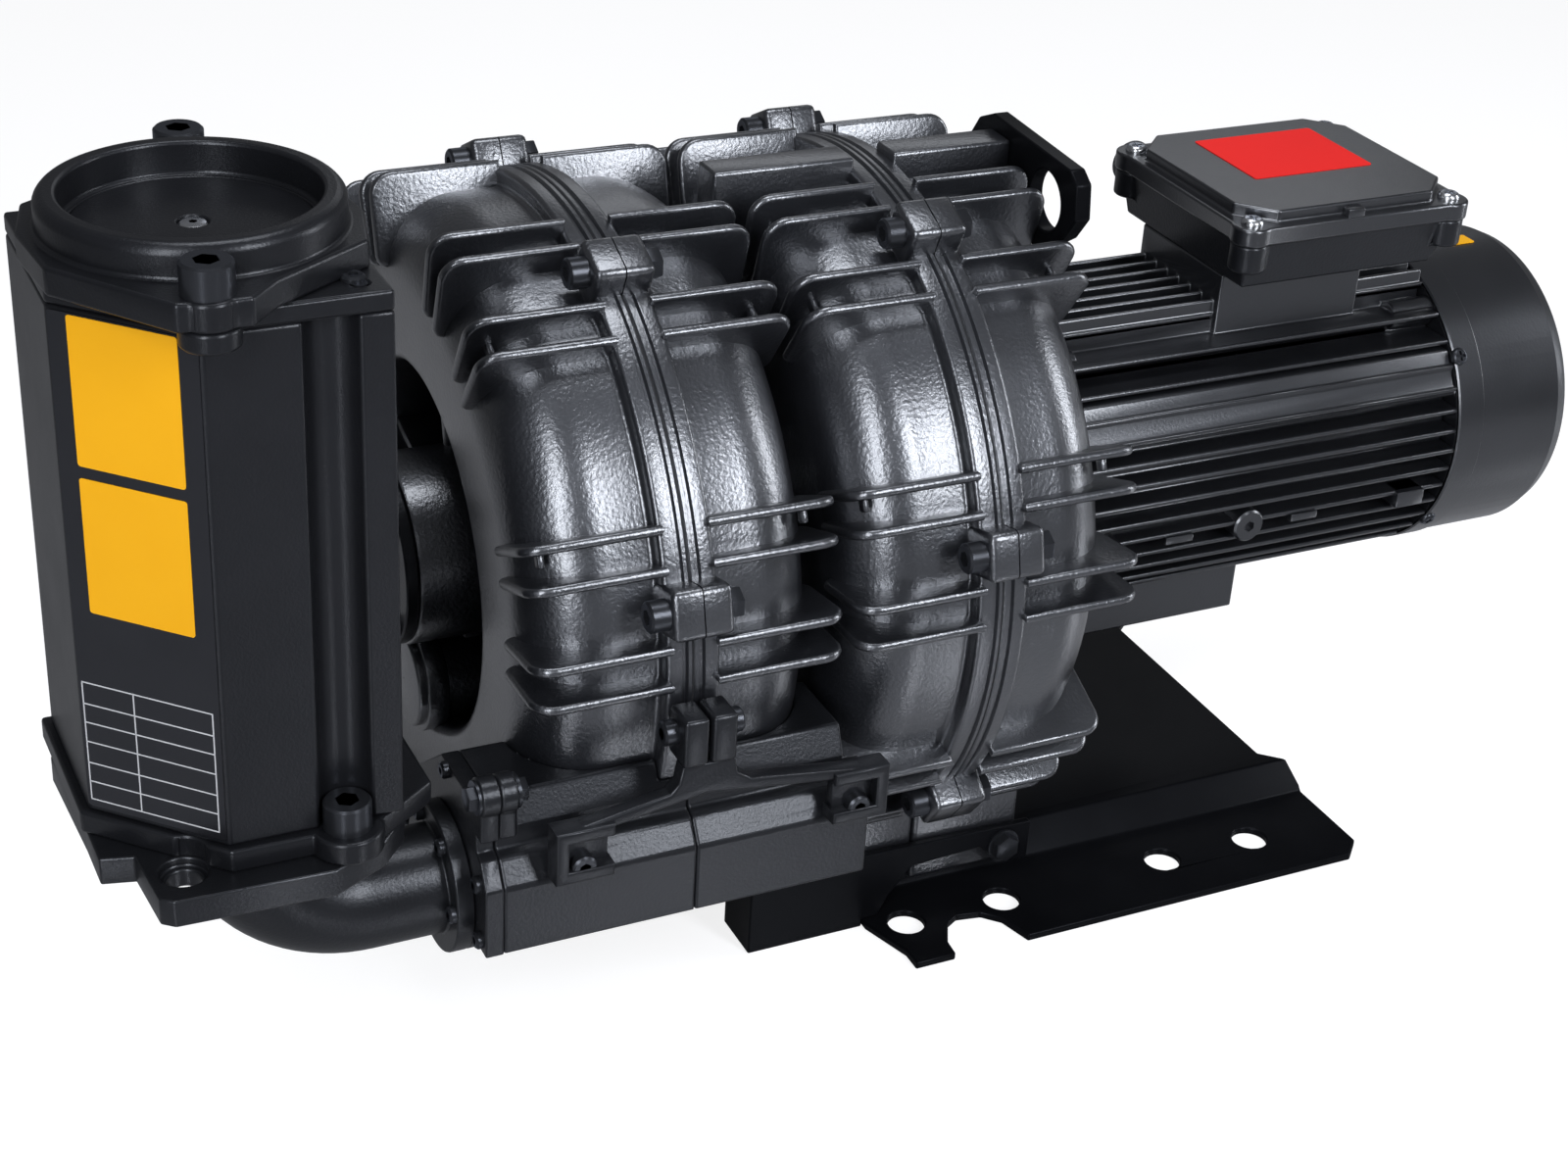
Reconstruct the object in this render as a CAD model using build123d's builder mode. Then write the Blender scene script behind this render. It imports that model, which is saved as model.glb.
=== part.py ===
from build123d import *
import os
from math import cos, radians, sin

os.makedirs("parts", exist_ok=True)

# Two-stage side channel gas blower with a flanged motor, an inlet silencer and a bolted base.
# X runs along the shaft from the silencer to the motor fan, Z is up, the front is -Y.
# The origin is on the ground under the shaft, in the middle of the four outer foot holes.

# Shaft line and stages
shaft_height = 188.0
stage_2_x = -93.0
stage_pitch = 147.0
stage_1_x = stage_2_x - stage_pitch

# Stage housings, each cast in two halves that meet in a bolted band
band_radius = 165.0
band_half = 12.0
tube_radius = 157.0
tube_half = 66.0
tube_corner = 34.0
tube_inner_radius = 84.0
wall = 5.0
gasket = 0.6
rib_radius = 168.5
rib_half = 70.5
rib_thick = 3.6
rib_foot_radius = 124.0
rib_offsets = (5.8, 11.7)
boss_count = 7
boss_first_angle = 14.5
boss_half = 13.5
boss_top = 178.0
boss_width = 22.0
bolt_circle = 169.0
bolt_radius = 4.0
bolt_head_radius = 6.8
bolt_head_height = 8.5
bolt_clearance = 0.3
hub_radius = 44.0
hub_reach = 78.0

# Rotor
shaft_radius = 15.0
journal_radius = 12.5
rotor_seat_radius = 18.0
disc_half = 5.0
disc_gap = 1.5
blade_half = 14.0
blade_count = 24
blade_thick = 3.0
tip_gap = 3.0
running_gap = 0.1
fit_gap = 0.02
clear = 0.3

# Bearings: outer radius, width
small_bearing_radius = 26.0
small_bearing_width = 15.0
large_bearing_radius = 31.0
large_bearing_width = 16.0

# Motor
motor_start = -15.0
motor_length = 236.0
motor_core = 68.0
motor_bore = 62.0
fin_radius = 80.0
fin_thick = 2.6
fin_pitch = 10.4
core_length = 110.0
air_gap = 0.5
rotor_radius = 36.0
cowl_length = 74.0
cowl_wall = 1.6
fan_radius = 66.0
fan_blades = 8

# Terminal box
box_x = 152.0
box_length = 126.0
box_width = 114.0
box_floor = 283.0
lid_top = 322.0
lid_thick = 15.0
lid_overhang = 3.5
box_wall = 4.0

# Base
plate_thick = 4.0
plate_depth = 150.0
plate_left = -119.0
plate_right = 151.0
plate_rise = 14.0
bend_out = 92.0
bend_in = 80.0
foot_hole_radius = 9.0
foot_hole_x = 99.8
inner_hole_x = 46.8
foot_hole_y = 119.0
bracket_y = 110.0
plate_notch = [(-90, -160), (-88, -140), (-81, -127), (-74, -123), (-62, -125), (-54, -133), (-46, -160)]
bracket_foot = [(-180, 0), (-119.3, 0), (-119.3, 4.3), (-111, 4.3), (-106, 14.5), (-94, 29), (-57, 31),
                (-46, 22), (-39, 18.3), (-29, 18.3), (-29, 40), (-130, 42)]
bracket_column = [(-150, 46), (-165.8, 52), (-165.8, 87), (-180, 87)]
bracket_corner = [(-180, 44)]
bracket_bolt_x = -44.0
bracket_bolt_z = 30.0
bracket_bolt_depth = 18.0
bracket_flange_in = 82.0
bracket_flange_high = 44.0
bracket_shelf_x = -172.9
bracket_shelf_length = 14.2
bracket_shelf_out = 140.0

# Port boxes beside the bottom of the stages
port_front = 176.0
port_back = 62.0
port_low = 87.0
port_high = 155.0
port_wall = 4.0
port_profile = [(port_front, port_low), (port_front, 120), (169, 131), (164, 133), (163, 142),
                (157, port_high), (120, port_high), (port_back, 110), (port_back, port_low)]
port_cavity = [(port_front - port_wall, port_low + port_wall), (port_front - port_wall, 118), (160, 129),
               (155, port_high - port_wall - 1), (122, port_high - port_wall - 1),
               (port_back + port_wall, 107), (port_back + port_wall, port_low + port_wall)]
inlet_left = -327.0
inlet_right = -158.0
outlet_left = -156.0
outlet_right = -19.0
pipe_y = 131.0
pipe_z = 101.0
pipe_radius = 24.0
pipe_bore = 19.0
cap_thick = 8.0
outlet_z = 114.0
elbow_bend = 55.0

# Silencer
silencer_x = -429.0
silencer_width = 113.0
silencer_chamfer = 43.5
silencer_floor = 178.0
silencer_top = 390.0
silencer_wall = 4.0
plate_top_thick = 8.0
head_height = 11.0
ring_height = 13.0
ring_radius = 55.0
ring_lip_radius = 52.4
ring_bore = 46.5
flange_thick = 10.0
foot_thick = 12.0
tie_radius = 65.0
tie_angle = -100.0
tie_head_radius = 9.5
tie_head_height = 12.0
liner_outer = 44.5
liner_inner = 33.0
core_wall = 1.5

# Lifting lug
lug_thick = 8.0
lug_hole_radius = 14.0
lug_hole_y = -49.0
lug_hole_z = 340.0

# Details of the stages
pocket_radius = 30.0
pocket_depth = 20.0
sleeve_radius = 40.0
sleeve_bore = 24.0
sleeve_flange_radius = 60.0
sleeve_flange_thick = 7.0
sleeve_bolts = 6
sleeve_bolt_circle = 51.0
sleeve_bolt_radius = 3.0
sleeve_head_radius = 5.5
sleeve_head_height = 5.0
lantern_radius = 66.0
lantern_reach = 70.0
inner_boss_radius = 32.0
inner_boss_reach = 34.0
side_port_radius = 23.0
side_port_y = 5.0
side_port_z = -66.0
cover_bolt_circle = 36.0
cover_bolt_radius = 3.0
cover_bolt_head = 5.5
cover_bolt_depth = 12.0
nut_radius = 7.0
nut_height = 6.0
port_window_angle = -26.0
window_length = 30.0
window_width = 40.0
window_depth = 16.0
duct_angle = 200.0
duct_radius = 108.0
duct_height = 26.0
duct_width = 60.0
duct_wall = 4.0

# Cast block on top of stage 2 and feet below it
block_y = -7.0
block_width = 18.0
block_low = 142.0
block_high = 169.0
block_reach_left = 79.0
block_reach_right = 71.0
lug_bolt_z = 155.0
lug_bolt_radius = 4.0
lug_bolt_depth = 16.0
foot_in = 60.0
foot_out = 105.7
foot_high = 72.0
left_foot_reach = 45.0
right_foot_reach = 58.0
foot_bolt_left = 14.0
foot_bolt_right = 34.0
foot_bolt_y = 70.0
foot_bolt_radius = 4.0
bolt_cap = 5.5
foot_bolt_depth = 16.0

# Shaft steps, from the silencer side to the fan
shaft_left = -316.0
left_shoulder = -300.0
drive_bearing_left = -17.0
drive_shoulder = -1.0
collar_radius = 17.0
core_left = 45.0
rear_bearing_left = 205.0
shaft_right = 262.0
fan_seat_radius = 10.0
race_radius = 20.0
seal_width = 10.0
spacer_radius = 19.0
impeller_hub_half = 18.0
impeller_hub_radius = 24.0
disc_centre_half = 1.5
blade_root = 90.0
cover_thick = 6.0

# Motor castings and screws
fin_rows = 7
top_fins = 3
side_pad_low = 30.0
side_pad_high = 49.3
side_pad_out = 74.2
side_pad_in = 63.0
lug_circle = 71.5
lug_angles = (58, 122, 238, 302)
lug_radius = 7.5
lug_reach = 25.0
lug_screw_radius = 3.0
lug_bolt_bore = lug_screw_radius + fit_gap
lug_bolt_head = 5.0
neck_x = 135.0
neck_length = 84.0
neck_width = 72.0
wire_hole_radius = 16.0
pad_low = 94.0
pad_x = 80.5
pad_length = 91.0
pad_width = 80.0
shield_radius = 78.0
shield_left = -23.0
rear_shield_thick = 6.0
winding_length = 18.0
winding_outer = 58.0
winding_inner = 40.0
fan_hub_radius = 16.0
fan_hub_length = 26.0
fan_disc_radius = 50.0
fan_blade_thick = 2.4
cowl_screw_angles = (35, 145, 215, 325)
cowl_screw_radius = 2.0
cowl_screw_depth = 8.0
cowl_screw_head = 4.5
grille_rings = ((22, 12), (37, 18), (52, 24))
grille_slot_length = 9.0
grille_slot_width = 4.0
lid_step = 9.0
lid_screw_x = 58.0
lid_screw_y = 52.0
lid_screw_radius = 2.5
lid_screw_depth = 12.0
lid_screw_head = 5.5
ear_radius = 9.0
ear_drop = 14.0
gland_x = 113.0
gland_z = 297.0
gland_thread = 8.0
gland_face = 63.0
gland_hex = 13.0
gland_cap = 11.5
gland_bore = 5.0

# Inlet cover, yoke and clamp
pipe_flange_radius = 33.0
cap_screw_places = [(170, 93), (168, 120), (128, 152), (72, 92)]
cap_screw_radius = 1.8
cap_screw_head = 3.8
outlet_stub = 36.0
ear_y = 165.0
ear_z = 161.0
cap_ear_radius = 8.5
ear_bolt_head = 5.5
yoke_thick = 8.0
yoke_profile = [(-12, 190), (12, 190), (12, 166), (14, 158), (25, 150), (85, 148), (85, 125), (62, 125),
                (62, 136), (50, 138), (-30, 138), (-42, 136), (-42, 123), (-68, 123), (-68, 147),
                (-22, 150), (-14, 158), (-12, 166)]
yoke_left_x = -295.0
yoke_right_x = -168.0
yoke_screw_z = 129.0
yoke_screw_radius = 3.0
yoke_screw_depth = 11.0
yoke_ear_z = 180.0
yoke_ear_height = 20.0
yoke_bolt_y = 174.0
elbow_flange_thick = 8.0
elbow_screw_circle = 28.5

# Silencer outlines, seen from above and measured from its middle
foot_half_outline = [(-58, -10), (-58, -33), (-45, -36), (-43, -66), (-38, -70), (24, -72), (47, -60),
                     (60, -45)]
bottom_outline = [(-60, -13), (-13, -60), (45, -60), (73, -40), (73, 8), (60, 22), (60, 60), (-60, 60)]
head_half_outline = [(-61, 8), (-58, -26), (-24, -71), (2, -73), (14, -60), (54, -35)]
tie_low = (33, -58)
tie_boss_radius = 14.0
tie_bolt_radius = 5.0
flute_radius = 10.5
rod_radius = 3.0
rod_offset = 46.5
foot_plate_offset = (-30, -52)
foot_plate_hole = 7.0
foot_plate_recess = 9.5
head_throat = 30.0
bridge_width = 14.0
disc_thick = 5.0
disc_radius = 44.0
disc_screw_radius = 3.0
disc_screw_head = 5.5
disc_screw_sink = 2.6

lug_profile = [(24, 150), (24, 157), (15, 170), (2, 176), (-68, 173), (-75, 168), (-77, 152), (-68, 140),
               (-50, 128), (-5, 128)]

motor_end = motor_start + motor_length
channel_outer = tube_radius - wall
channel_inner = tube_inner_radius + wall
web_inner = disc_half + disc_gap
web_outer = web_inner + wall + 1.0
seam = gasket / 2
mid_reach = stage_pitch / 2
foot_bolt_places = [(stage_2_x - foot_bolt_left, s * foot_bolt_y) for s in (-1, 1)]
foot_bolt_places += [(stage_2_x + foot_bolt_right, s * foot_bolt_y) for s in (-1, 1)]
lug_places = [(lug_circle * cos(radians(a)), lug_circle * sin(radians(a))) for a in lug_angles]
blade_tip = channel_outer - tip_gap
cowl_screw_x = motor_end + rear_shield_thick / 2
cowl_end = motor_end + cowl_length
lid_low = lid_top - lid_thick
bend_run = bend_out - bend_in
plate_slope = plate_thick * ((bend_run**2 + plate_rise**2)**0.5 - bend_run) / plate_rise
silencer_low = silencer_floor - flange_thick
foot_low = silencer_low - foot_thick
head_floor = silencer_top + plate_top_thick
disc_floor = head_floor + head_height - disc_thick
foot_outline = foot_half_outline + [(-x, -y) for x, y in foot_half_outline]
head_outline = head_half_outline + [(-x, -y) for x, y in head_half_outline]
rod_places = [(silencer_x + x * rod_offset, -pipe_y + y * rod_offset) for x, y in ((1, -1), (1, 1), (-1, 1))]
tie_low_places = [(silencer_x + s * tie_low[0], -pipe_y + s * tie_low[1]) for s in (-1, 1)]
tie_top_places = [(silencer_x + s * tie_radius * cos(radians(tie_angle)),
                   -pipe_y + s * tie_radius * sin(radians(tie_angle))) for s in (-1, 1)]
foot_hole_places = [(silencer_x + foot_plate_offset[0], foot_plate_offset[1] - pipe_y)]
elbow_screw_places = [(elbow_screw_circle * cos(radians(a)) - pipe_y,
                       elbow_screw_circle * sin(radians(a)) + pipe_z) for a in (60, 120, 180, 0)]
shaft_axis = Axis((0, 0, shaft_height), (1, 0, 0))
long_plane = Plane(origin=(0, 0, shaft_height), x_dir=(1, 0, 0), z_dir=(0, -1, 0))


def cross_plane(x):
    """Plane across the shaft at x: local x points to the front, local y points up."""
    return Plane(origin=(x, 0, shaft_height), x_dir=(0, -1, 0), z_dir=(-1, 0, 0))


def radial_plane(angle):
    """Plane through the shaft at an angle above the front: local y points outwards."""
    normal = (0, -sin(radians(angle)), -cos(radians(angle)))
    return Plane(origin=(0, 0, shaft_height), x_dir=(1, 0, 0), z_dir=normal)


def tangent_plane(angle, radius, x):
    """Plane that touches a cylinder round the shaft, facing outwards."""
    c, s = cos(radians(angle)), sin(radians(angle))
    return Plane(origin=(x, -radius * c, shaft_height + radius * s), x_dir=(1, 0, 0), z_dir=(0, -c, s))


def boss_angles(stage):
    """Angles of the clamping bosses, left out where a port box or the base is in the way."""
    angles = [boss_first_angle + 360.0 / boss_count * n for n in range(boss_count)]
    if stage == 1:
        return angles[:6]
    return angles[:4] + angles[6:]


def rib_angles(stage):
    """Two ribs above and two below each boss."""
    found = []
    for a in boss_angles(stage):
        for offset in rib_offsets:
            found += [a - offset, a + offset]
    return found


def tube_edge(stage_x, side, gap):
    """Outer edge of half a stage in the long plane, from the seam to the hub side."""
    def p(u, r):
        return (stage_x + side * u, r)

    corner = tube_corner + gap
    centre_u = tube_half - tube_corner
    centre_r = tube_radius - tube_corner
    diagonal = corner * cos(radians(45))
    Polyline(p(seam, 0), p(seam, band_radius + gap), p(band_half + gap, band_radius + gap),
             p(band_half + gap, tube_radius + gap), p(centre_u, tube_radius + gap))
    ThreePointArc(p(centre_u, tube_radius + gap), p(centre_u + diagonal, centre_r + diagonal),
                  p(tube_half + gap, centre_r))


def housing_half(stage, side, hub_outer, hub_end, hub_bore, details, windows):
    """One cast half of a stage: channel, ribs, bosses, web and hub."""
    stage_x = stage_1_x if stage == 1 else stage_2_x

    def p(u, r):
        return (stage_x + side * u, r)

    with BuildPart() as half:
        with BuildSketch(long_plane):
            with BuildLine():
                tube_edge(stage_x, side, 0)
                Polyline(p(tube_half, tube_radius - tube_corner), p(tube_half, tube_inner_radius + 8),
                         p(tube_half - 8, tube_inner_radius), p(web_outer, tube_inner_radius),
                         p(web_outer, hub_outer), p(hub_end, hub_outer), p(hub_end, 0), p(seam, 0))
            make_face()
        revolve(axis=shaft_axis)
        with BuildSketch(*[radial_plane(a) for a in rib_angles(stage)]):
            with BuildLine():
                Polyline(p(band_half - 2, channel_outer), p(band_half - 2, rib_radius),
                         p(rib_half - 5, rib_radius), p(rib_half, rib_radius - 6),
                         p(rib_half, rib_foot_radius + 6), p(tube_half - 2, rib_foot_radius),
                         p(tube_half - 14, rib_foot_radius), close=True)
            make_face()
        extrude(amount=rib_thick / 2, both=True)
        with BuildSketch(*[radial_plane(a) for a in boss_angles(stage)]):
            with BuildLine():
                Polyline(p(seam, channel_outer), p(seam, boss_top), p(boss_half - 3, boss_top),
                         p(boss_half, boss_top - 4), p(boss_half, channel_outer), close=True)
            make_face()
        extrude(amount=boss_width / 2, both=True)
        details()
        with BuildSketch(long_plane):
            with BuildLine():
                Polyline(p(0, 0), p(pocket_depth, 0), p(pocket_depth, pocket_radius),
                         p(web_inner, pocket_radius), p(web_inner, channel_inner),
                         p(tube_half - wall - 8, channel_inner),
                         p(tube_half - wall, channel_inner + 8), p(tube_half - wall, channel_outer - 26),
                         p(tube_half - wall - 11, channel_outer - 8), p(tube_half - wall - 30, channel_outer),
                         p(0, channel_outer), close=True)
            make_face()
        revolve(axis=shaft_axis, mode=Mode.SUBTRACT)
        with BuildSketch(cross_plane(stage_x)):
            Circle(hub_bore)
        extrude(amount=-side * (hub_end + 1), mode=Mode.SUBTRACT)
        with BuildSketch(cross_plane(stage_x)):
            for a in boss_angles(stage):
                with Locations((bolt_circle * cos(radians(a)), bolt_circle * sin(radians(a)))):
                    Circle(bolt_radius + bolt_clearance)
        extrude(amount=-side * (boss_half + 1), mode=Mode.SUBTRACT)
        windows()
    return half


# Stage 1, outer half: bearing hub with stiffening webs, a blanked side port and the inlet window.
def outer_details():
    with BuildSketch(*[radial_plane(boss_first_angle + 30 + 60 * n) for n in range(6)]) as face:
        with BuildLine():
            Polyline((stage_1_x - web_outer + 1, hub_radius - 2),
                     (stage_1_x - hub_reach + 14, hub_radius - 2),
                     (stage_1_x - hub_reach + 14, hub_radius + 5),
                     (stage_1_x - tube_half + 16, tube_inner_radius + 2),
                     (stage_1_x - web_outer + 1, tube_inner_radius + 2), close=True)
        make_face()
    extrude(face.sketch, amount=2.5, both=True)
    with BuildSketch(cross_plane(stage_1_x - web_outer + 1)) as face:
        with Locations((side_port_y, side_port_z)):
            Circle(side_port_radius)
    extrude(face.sketch, amount=hub_reach - web_outer - 4)
    # tapped holes for the bearing cover
    with BuildSketch(cross_plane(stage_1_x - hub_reach)) as face:
        with PolarLocations(cover_bolt_circle, 4, start_angle=45):
            Circle(cover_bolt_radius + fit_gap)
    extrude(face.sketch, amount=-cover_bolt_depth - 1, mode=Mode.SUBTRACT)


def inlet_window():
    with BuildSketch(radial_plane(port_window_angle)) as face:
        with Locations((stage_1_x - tube_half / 2, tube_radius)):
            Rectangle(window_length, window_depth)
    extrude(face.sketch, amount=window_width / 2, both=True, mode=Mode.SUBTRACT)


stage_1_outer = housing_half(1, -1, hub_radius, hub_reach, small_bearing_radius + fit_gap, outer_details,
                             inlet_window)
stage_1_outer.part.label = "stage_1_outer_housing"
export_step(stage_1_outer.part, "parts/stage_1_outer_housing.step")


# Inner halves of both stages: sleeves that meet half way, with a bolted flange each.
def sleeve_flange(stage_x, side):
    def build():
        with BuildSketch(cross_plane(stage_x + side * (mid_reach - sleeve_flange_thick))) as face:
            Circle(sleeve_flange_radius)
        extrude(face.sketch, amount=-side * sleeve_flange_thick)
        with BuildSketch(cross_plane(stage_x + side * (mid_reach - sleeve_flange_thick))) as face:
            with PolarLocations(sleeve_bolt_circle, sleeve_bolts):
                Circle(sleeve_bolt_radius + bolt_clearance)
        extrude(face.sketch, amount=-side * (sleeve_flange_thick + 1), mode=Mode.SUBTRACT)
        if stage_x == stage_2_x:
            lifting_block(side)
            foot_block(side, left_foot_reach, foot_bolt_left)
    return build


def lifting_block(side):
    """Cast block across the top of stage 2, broken by the flange band."""
    reach = block_reach_left if side < 0 else block_reach_right
    with BuildSketch(Plane.XY.offset(shaft_height + block_low)) as face:
        with Locations((stage_2_x + side * (band_half - 2 + reach) / 2, block_y)):
            Rectangle(reach - band_half + 2, block_width)
    extrude(face.sketch, amount=block_high - block_low)
    if side > 0:
        with BuildSketch(Plane.YZ.offset(stage_2_x + reach)) as face:
            with Locations((block_y, shaft_height + lug_bolt_z)):
                Circle(lug_bolt_radius + fit_gap)
        extrude(face.sketch, amount=-lug_bolt_depth - 1, mode=Mode.SUBTRACT)


def foot_block(side, reach, bolt_u):
    """Cast feet under stage 2, front and back, that stand on the base plate."""
    low = plate_rise + plate_thick
    for y_side in (-1, 1):
        with BuildSketch(Plane.XY.offset(low)) as face:
            with Locations((stage_2_x + side * (seam + reach) / 2, y_side * (foot_in + foot_out) / 2)):
                Rectangle(reach - seam, foot_out - foot_in)
        extrude(face.sketch, amount=foot_high - low)
        with BuildSketch(Plane.XY.offset(low)) as face:
            with Locations((stage_2_x + side * bolt_u, y_side * foot_bolt_y)):
                Circle(foot_bolt_radius + fit_gap)
        extrude(face.sketch, amount=foot_bolt_depth + 1, mode=Mode.SUBTRACT)


def duct_window(stage_x, side):
    def build():
        plane = radial_plane(duct_angle)
        with BuildSketch(plane) as face:
            with Locations((stage_x + side * tube_half, duct_radius)):
                Rectangle(3 * wall, duct_height - 2 * duct_wall)
        extrude(face.sketch, amount=duct_width / 2 - duct_wall, both=True, mode=Mode.SUBTRACT)
    return build


stage_1_inner = housing_half(1, 1, sleeve_radius, mid_reach, sleeve_bore, sleeve_flange(stage_1_x, 1),
                             duct_window(stage_1_x, 1))
stage_1_inner.part.label = "stage_1_inner_housing"
export_step(stage_1_inner.part, "parts/stage_1_inner_housing.step")

stage_2_inner = housing_half(2, -1, sleeve_radius, mid_reach, sleeve_bore, sleeve_flange(stage_2_x, -1),
                             duct_window(stage_2_x, -1))
stage_2_inner.part.label = "stage_2_inner_housing"
export_step(stage_2_inner.part, "parts/stage_2_inner_housing.step")


# Stage 2, motor half: a hollow lantern reaches to the motor flange.
def motor_details():
    lifting_block(1)
    foot_block(1, right_foot_reach, foot_bolt_right)
    # side hole for the support bracket bolt
    for y_side in (-1, 1):
        with BuildSketch(Plane.XZ.offset(-y_side * foot_out)) as face:
            with Locations((bracket_bolt_x, bracket_bolt_z)):
                Circle(foot_bolt_radius + fit_gap)
        extrude(face.sketch, amount=y_side * bracket_bolt_depth, mode=Mode.SUBTRACT)
    with BuildSketch(long_plane) as face:
        with BuildLine():
            Polyline((stage_2_x + web_outer, inner_boss_radius),
                     (stage_2_x + inner_boss_reach, inner_boss_radius),
                     (stage_2_x + inner_boss_reach, 0), (stage_2_x + lantern_reach + 1, 0),
                     (stage_2_x + lantern_reach + 1, lantern_radius - wall - 1),
                     (stage_2_x + web_outer, lantern_radius - wall - 1), close=True)
        make_face()
    revolve(face.sketch, axis=shaft_axis, mode=Mode.SUBTRACT)


def outlet_window():
    with BuildSketch(radial_plane(180 - port_window_angle)) as face:
        with Locations((stage_2_x + tube_half / 2, tube_radius)):
            Rectangle(window_length, window_depth)
    extrude(face.sketch, amount=window_width / 2, both=True, mode=Mode.SUBTRACT)


stage_2_motor = housing_half(2, 1, lantern_radius, lantern_reach, sleeve_bore, motor_details, outlet_window)
stage_2_motor.part.label = "stage_2_motor_housing"
export_step(stage_2_motor.part, "parts/stage_2_motor_housing.step")


# Gaskets in the two bands
with BuildPart() as band_gaskets:
    for stage_x in (stage_1_x, stage_2_x):
        with BuildSketch(cross_plane(stage_x + seam)):
            Circle(band_radius - 1)
            Circle(channel_outer + 1, mode=Mode.SUBTRACT)
        extrude(amount=gasket)
band_gaskets.part.label = "band_gaskets"
export_step(band_gaskets.part, "parts/band_gaskets.step")


# Band bolts: cap head on the silencer side, hexagon nut on the motor side
with BuildPart() as band_bolts:
    for stage, stage_x in ((1, stage_1_x), (2, stage_2_x)):
        centres = [(bolt_circle * cos(radians(a)), bolt_circle * sin(radians(a))) for a in boss_angles(stage)]
        with BuildSketch(cross_plane(stage_x + boss_half + nut_height)):
            with Locations(*centres):
                Circle(bolt_radius)
        extrude(amount=2 * boss_half + nut_height + 1)
        with BuildSketch(cross_plane(stage_x - boss_half)):
            with Locations(*centres):
                Circle(bolt_head_radius)
        extrude(amount=bolt_head_height)
        with BuildSketch(cross_plane(stage_x + boss_half + nut_height)):
            with Locations(*centres):
                RegularPolygon(nut_radius, 6)
        extrude(amount=nut_height)
band_bolts.part.label = "band_bolts"
export_step(band_bolts.part, "parts/band_bolts.step")


# Short duct between the stages
with BuildPart() as duct:
    with BuildSketch(radial_plane(duct_angle)):
        with Locations(((stage_1_x + stage_2_x) / 2, duct_radius)):
            Rectangle(stage_pitch - 2 * tube_half, duct_height)
    extrude(amount=duct_width / 2, both=True)
    with BuildSketch(radial_plane(duct_angle)):
        with Locations(((stage_1_x + stage_2_x) / 2, duct_radius)):
            Rectangle(stage_pitch, duct_height - 2 * duct_wall)
    extrude(amount=duct_width / 2 - duct_wall, both=True, mode=Mode.SUBTRACT)
duct.part.label = "interstage_duct"
export_step(duct.part, "parts/interstage_duct.step")


# Bolts through the two sleeve flanges
with BuildPart() as sleeve_bolt_set:
    joint_x = stage_1_x + mid_reach
    nut_end = joint_x + sleeve_flange_thick + sleeve_head_height
    for x, size, length in ((nut_end, sleeve_bolt_radius, 2 * (sleeve_flange_thick + sleeve_head_height)),
                            (joint_x - sleeve_flange_thick, sleeve_head_radius, sleeve_head_height),
                            (nut_end, sleeve_head_radius, sleeve_head_height)):
        with BuildSketch(cross_plane(x)):
            with PolarLocations(sleeve_bolt_circle, sleeve_bolts):
                Circle(size)
        extrude(amount=length)
sleeve_bolt_set.part.label = "sleeve_bolts"
export_step(sleeve_bolt_set.part, "parts/sleeve_bolts.step")


# Shaft: journals, impeller seat, rotor seat and fan seat
with BuildPart() as shaft:
    with BuildSketch(long_plane):
        with BuildLine():
            seat_end = core_left + core_length + 1
            journal_end = rear_bearing_left + small_bearing_width + 2
            Polyline((shaft_left, 0), (shaft_left, journal_radius), (left_shoulder, journal_radius),
                     (left_shoulder, shaft_radius), (drive_shoulder, shaft_radius),
                     (drive_shoulder, collar_radius), (core_left - 5, collar_radius),
                     (core_left - 5, rotor_seat_radius), (seat_end, rotor_seat_radius),
                     (seat_end, collar_radius), (rear_bearing_left, collar_radius),
                     (rear_bearing_left, journal_radius), (journal_end, journal_radius),
                     (journal_end, fan_seat_radius), (shaft_right, fan_seat_radius), (shaft_right, 0),
                     close=True)
        make_face()
    revolve(axis=shaft_axis)
shaft.part.label = "shaft"
export_step(shaft.part, "parts/shaft.step")


# Impellers: a disc with open blades on both faces that run in the two half channels
for stage, stage_x in ((1, stage_1_x), (2, stage_2_x)):
    with BuildPart() as impeller:
        with BuildSketch(long_plane):
            with BuildLine():
                half_disc = [(impeller_hub_half, 0), (impeller_hub_half, impeller_hub_radius),
                             (disc_half, impeller_hub_radius), (disc_half, blade_root),
                             (disc_centre_half, blade_root + 6), (disc_centre_half, blade_tip)]
                Polyline([(stage_x - u, r) for u, r in half_disc]
                         + [(stage_x + u, r) for u, r in reversed(half_disc)], close=True)
            make_face()
        revolve(axis=shaft_axis)
        with BuildSketch(*[radial_plane(360 / blade_count * n) for n in range(blade_count)]):
            with Locations((stage_x, (blade_root + blade_tip) / 2)):
                Rectangle(2 * blade_half, blade_tip - blade_root)
        extrude(amount=blade_thick / 2, both=True)
        with BuildSketch(cross_plane(stage_x + impeller_hub_half)):
            Circle(shaft_radius + fit_gap)
        extrude(amount=2 * impeller_hub_half, mode=Mode.SUBTRACT)
    name = f"impeller_{stage}"
    impeller.part.label = name
    export_step(impeller.part, f"parts/{name}.step")


# Spacer sleeves that carry the impellers along the shaft
with BuildPart() as spacers:
    for left, right in ((left_shoulder + 0.5, stage_1_x - impeller_hub_half),
                        (stage_1_x + impeller_hub_half, stage_2_x - impeller_hub_half),
                        (stage_2_x + impeller_hub_half, drive_bearing_left)):
        with BuildSketch(cross_plane(right)):
            Circle(spacer_radius)
            Circle(shaft_radius + fit_gap, mode=Mode.SUBTRACT)
        extrude(amount=right - left)
spacers.part.label = "shaft_spacers"
export_step(spacers.part, "parts/shaft_spacers.step")


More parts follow.
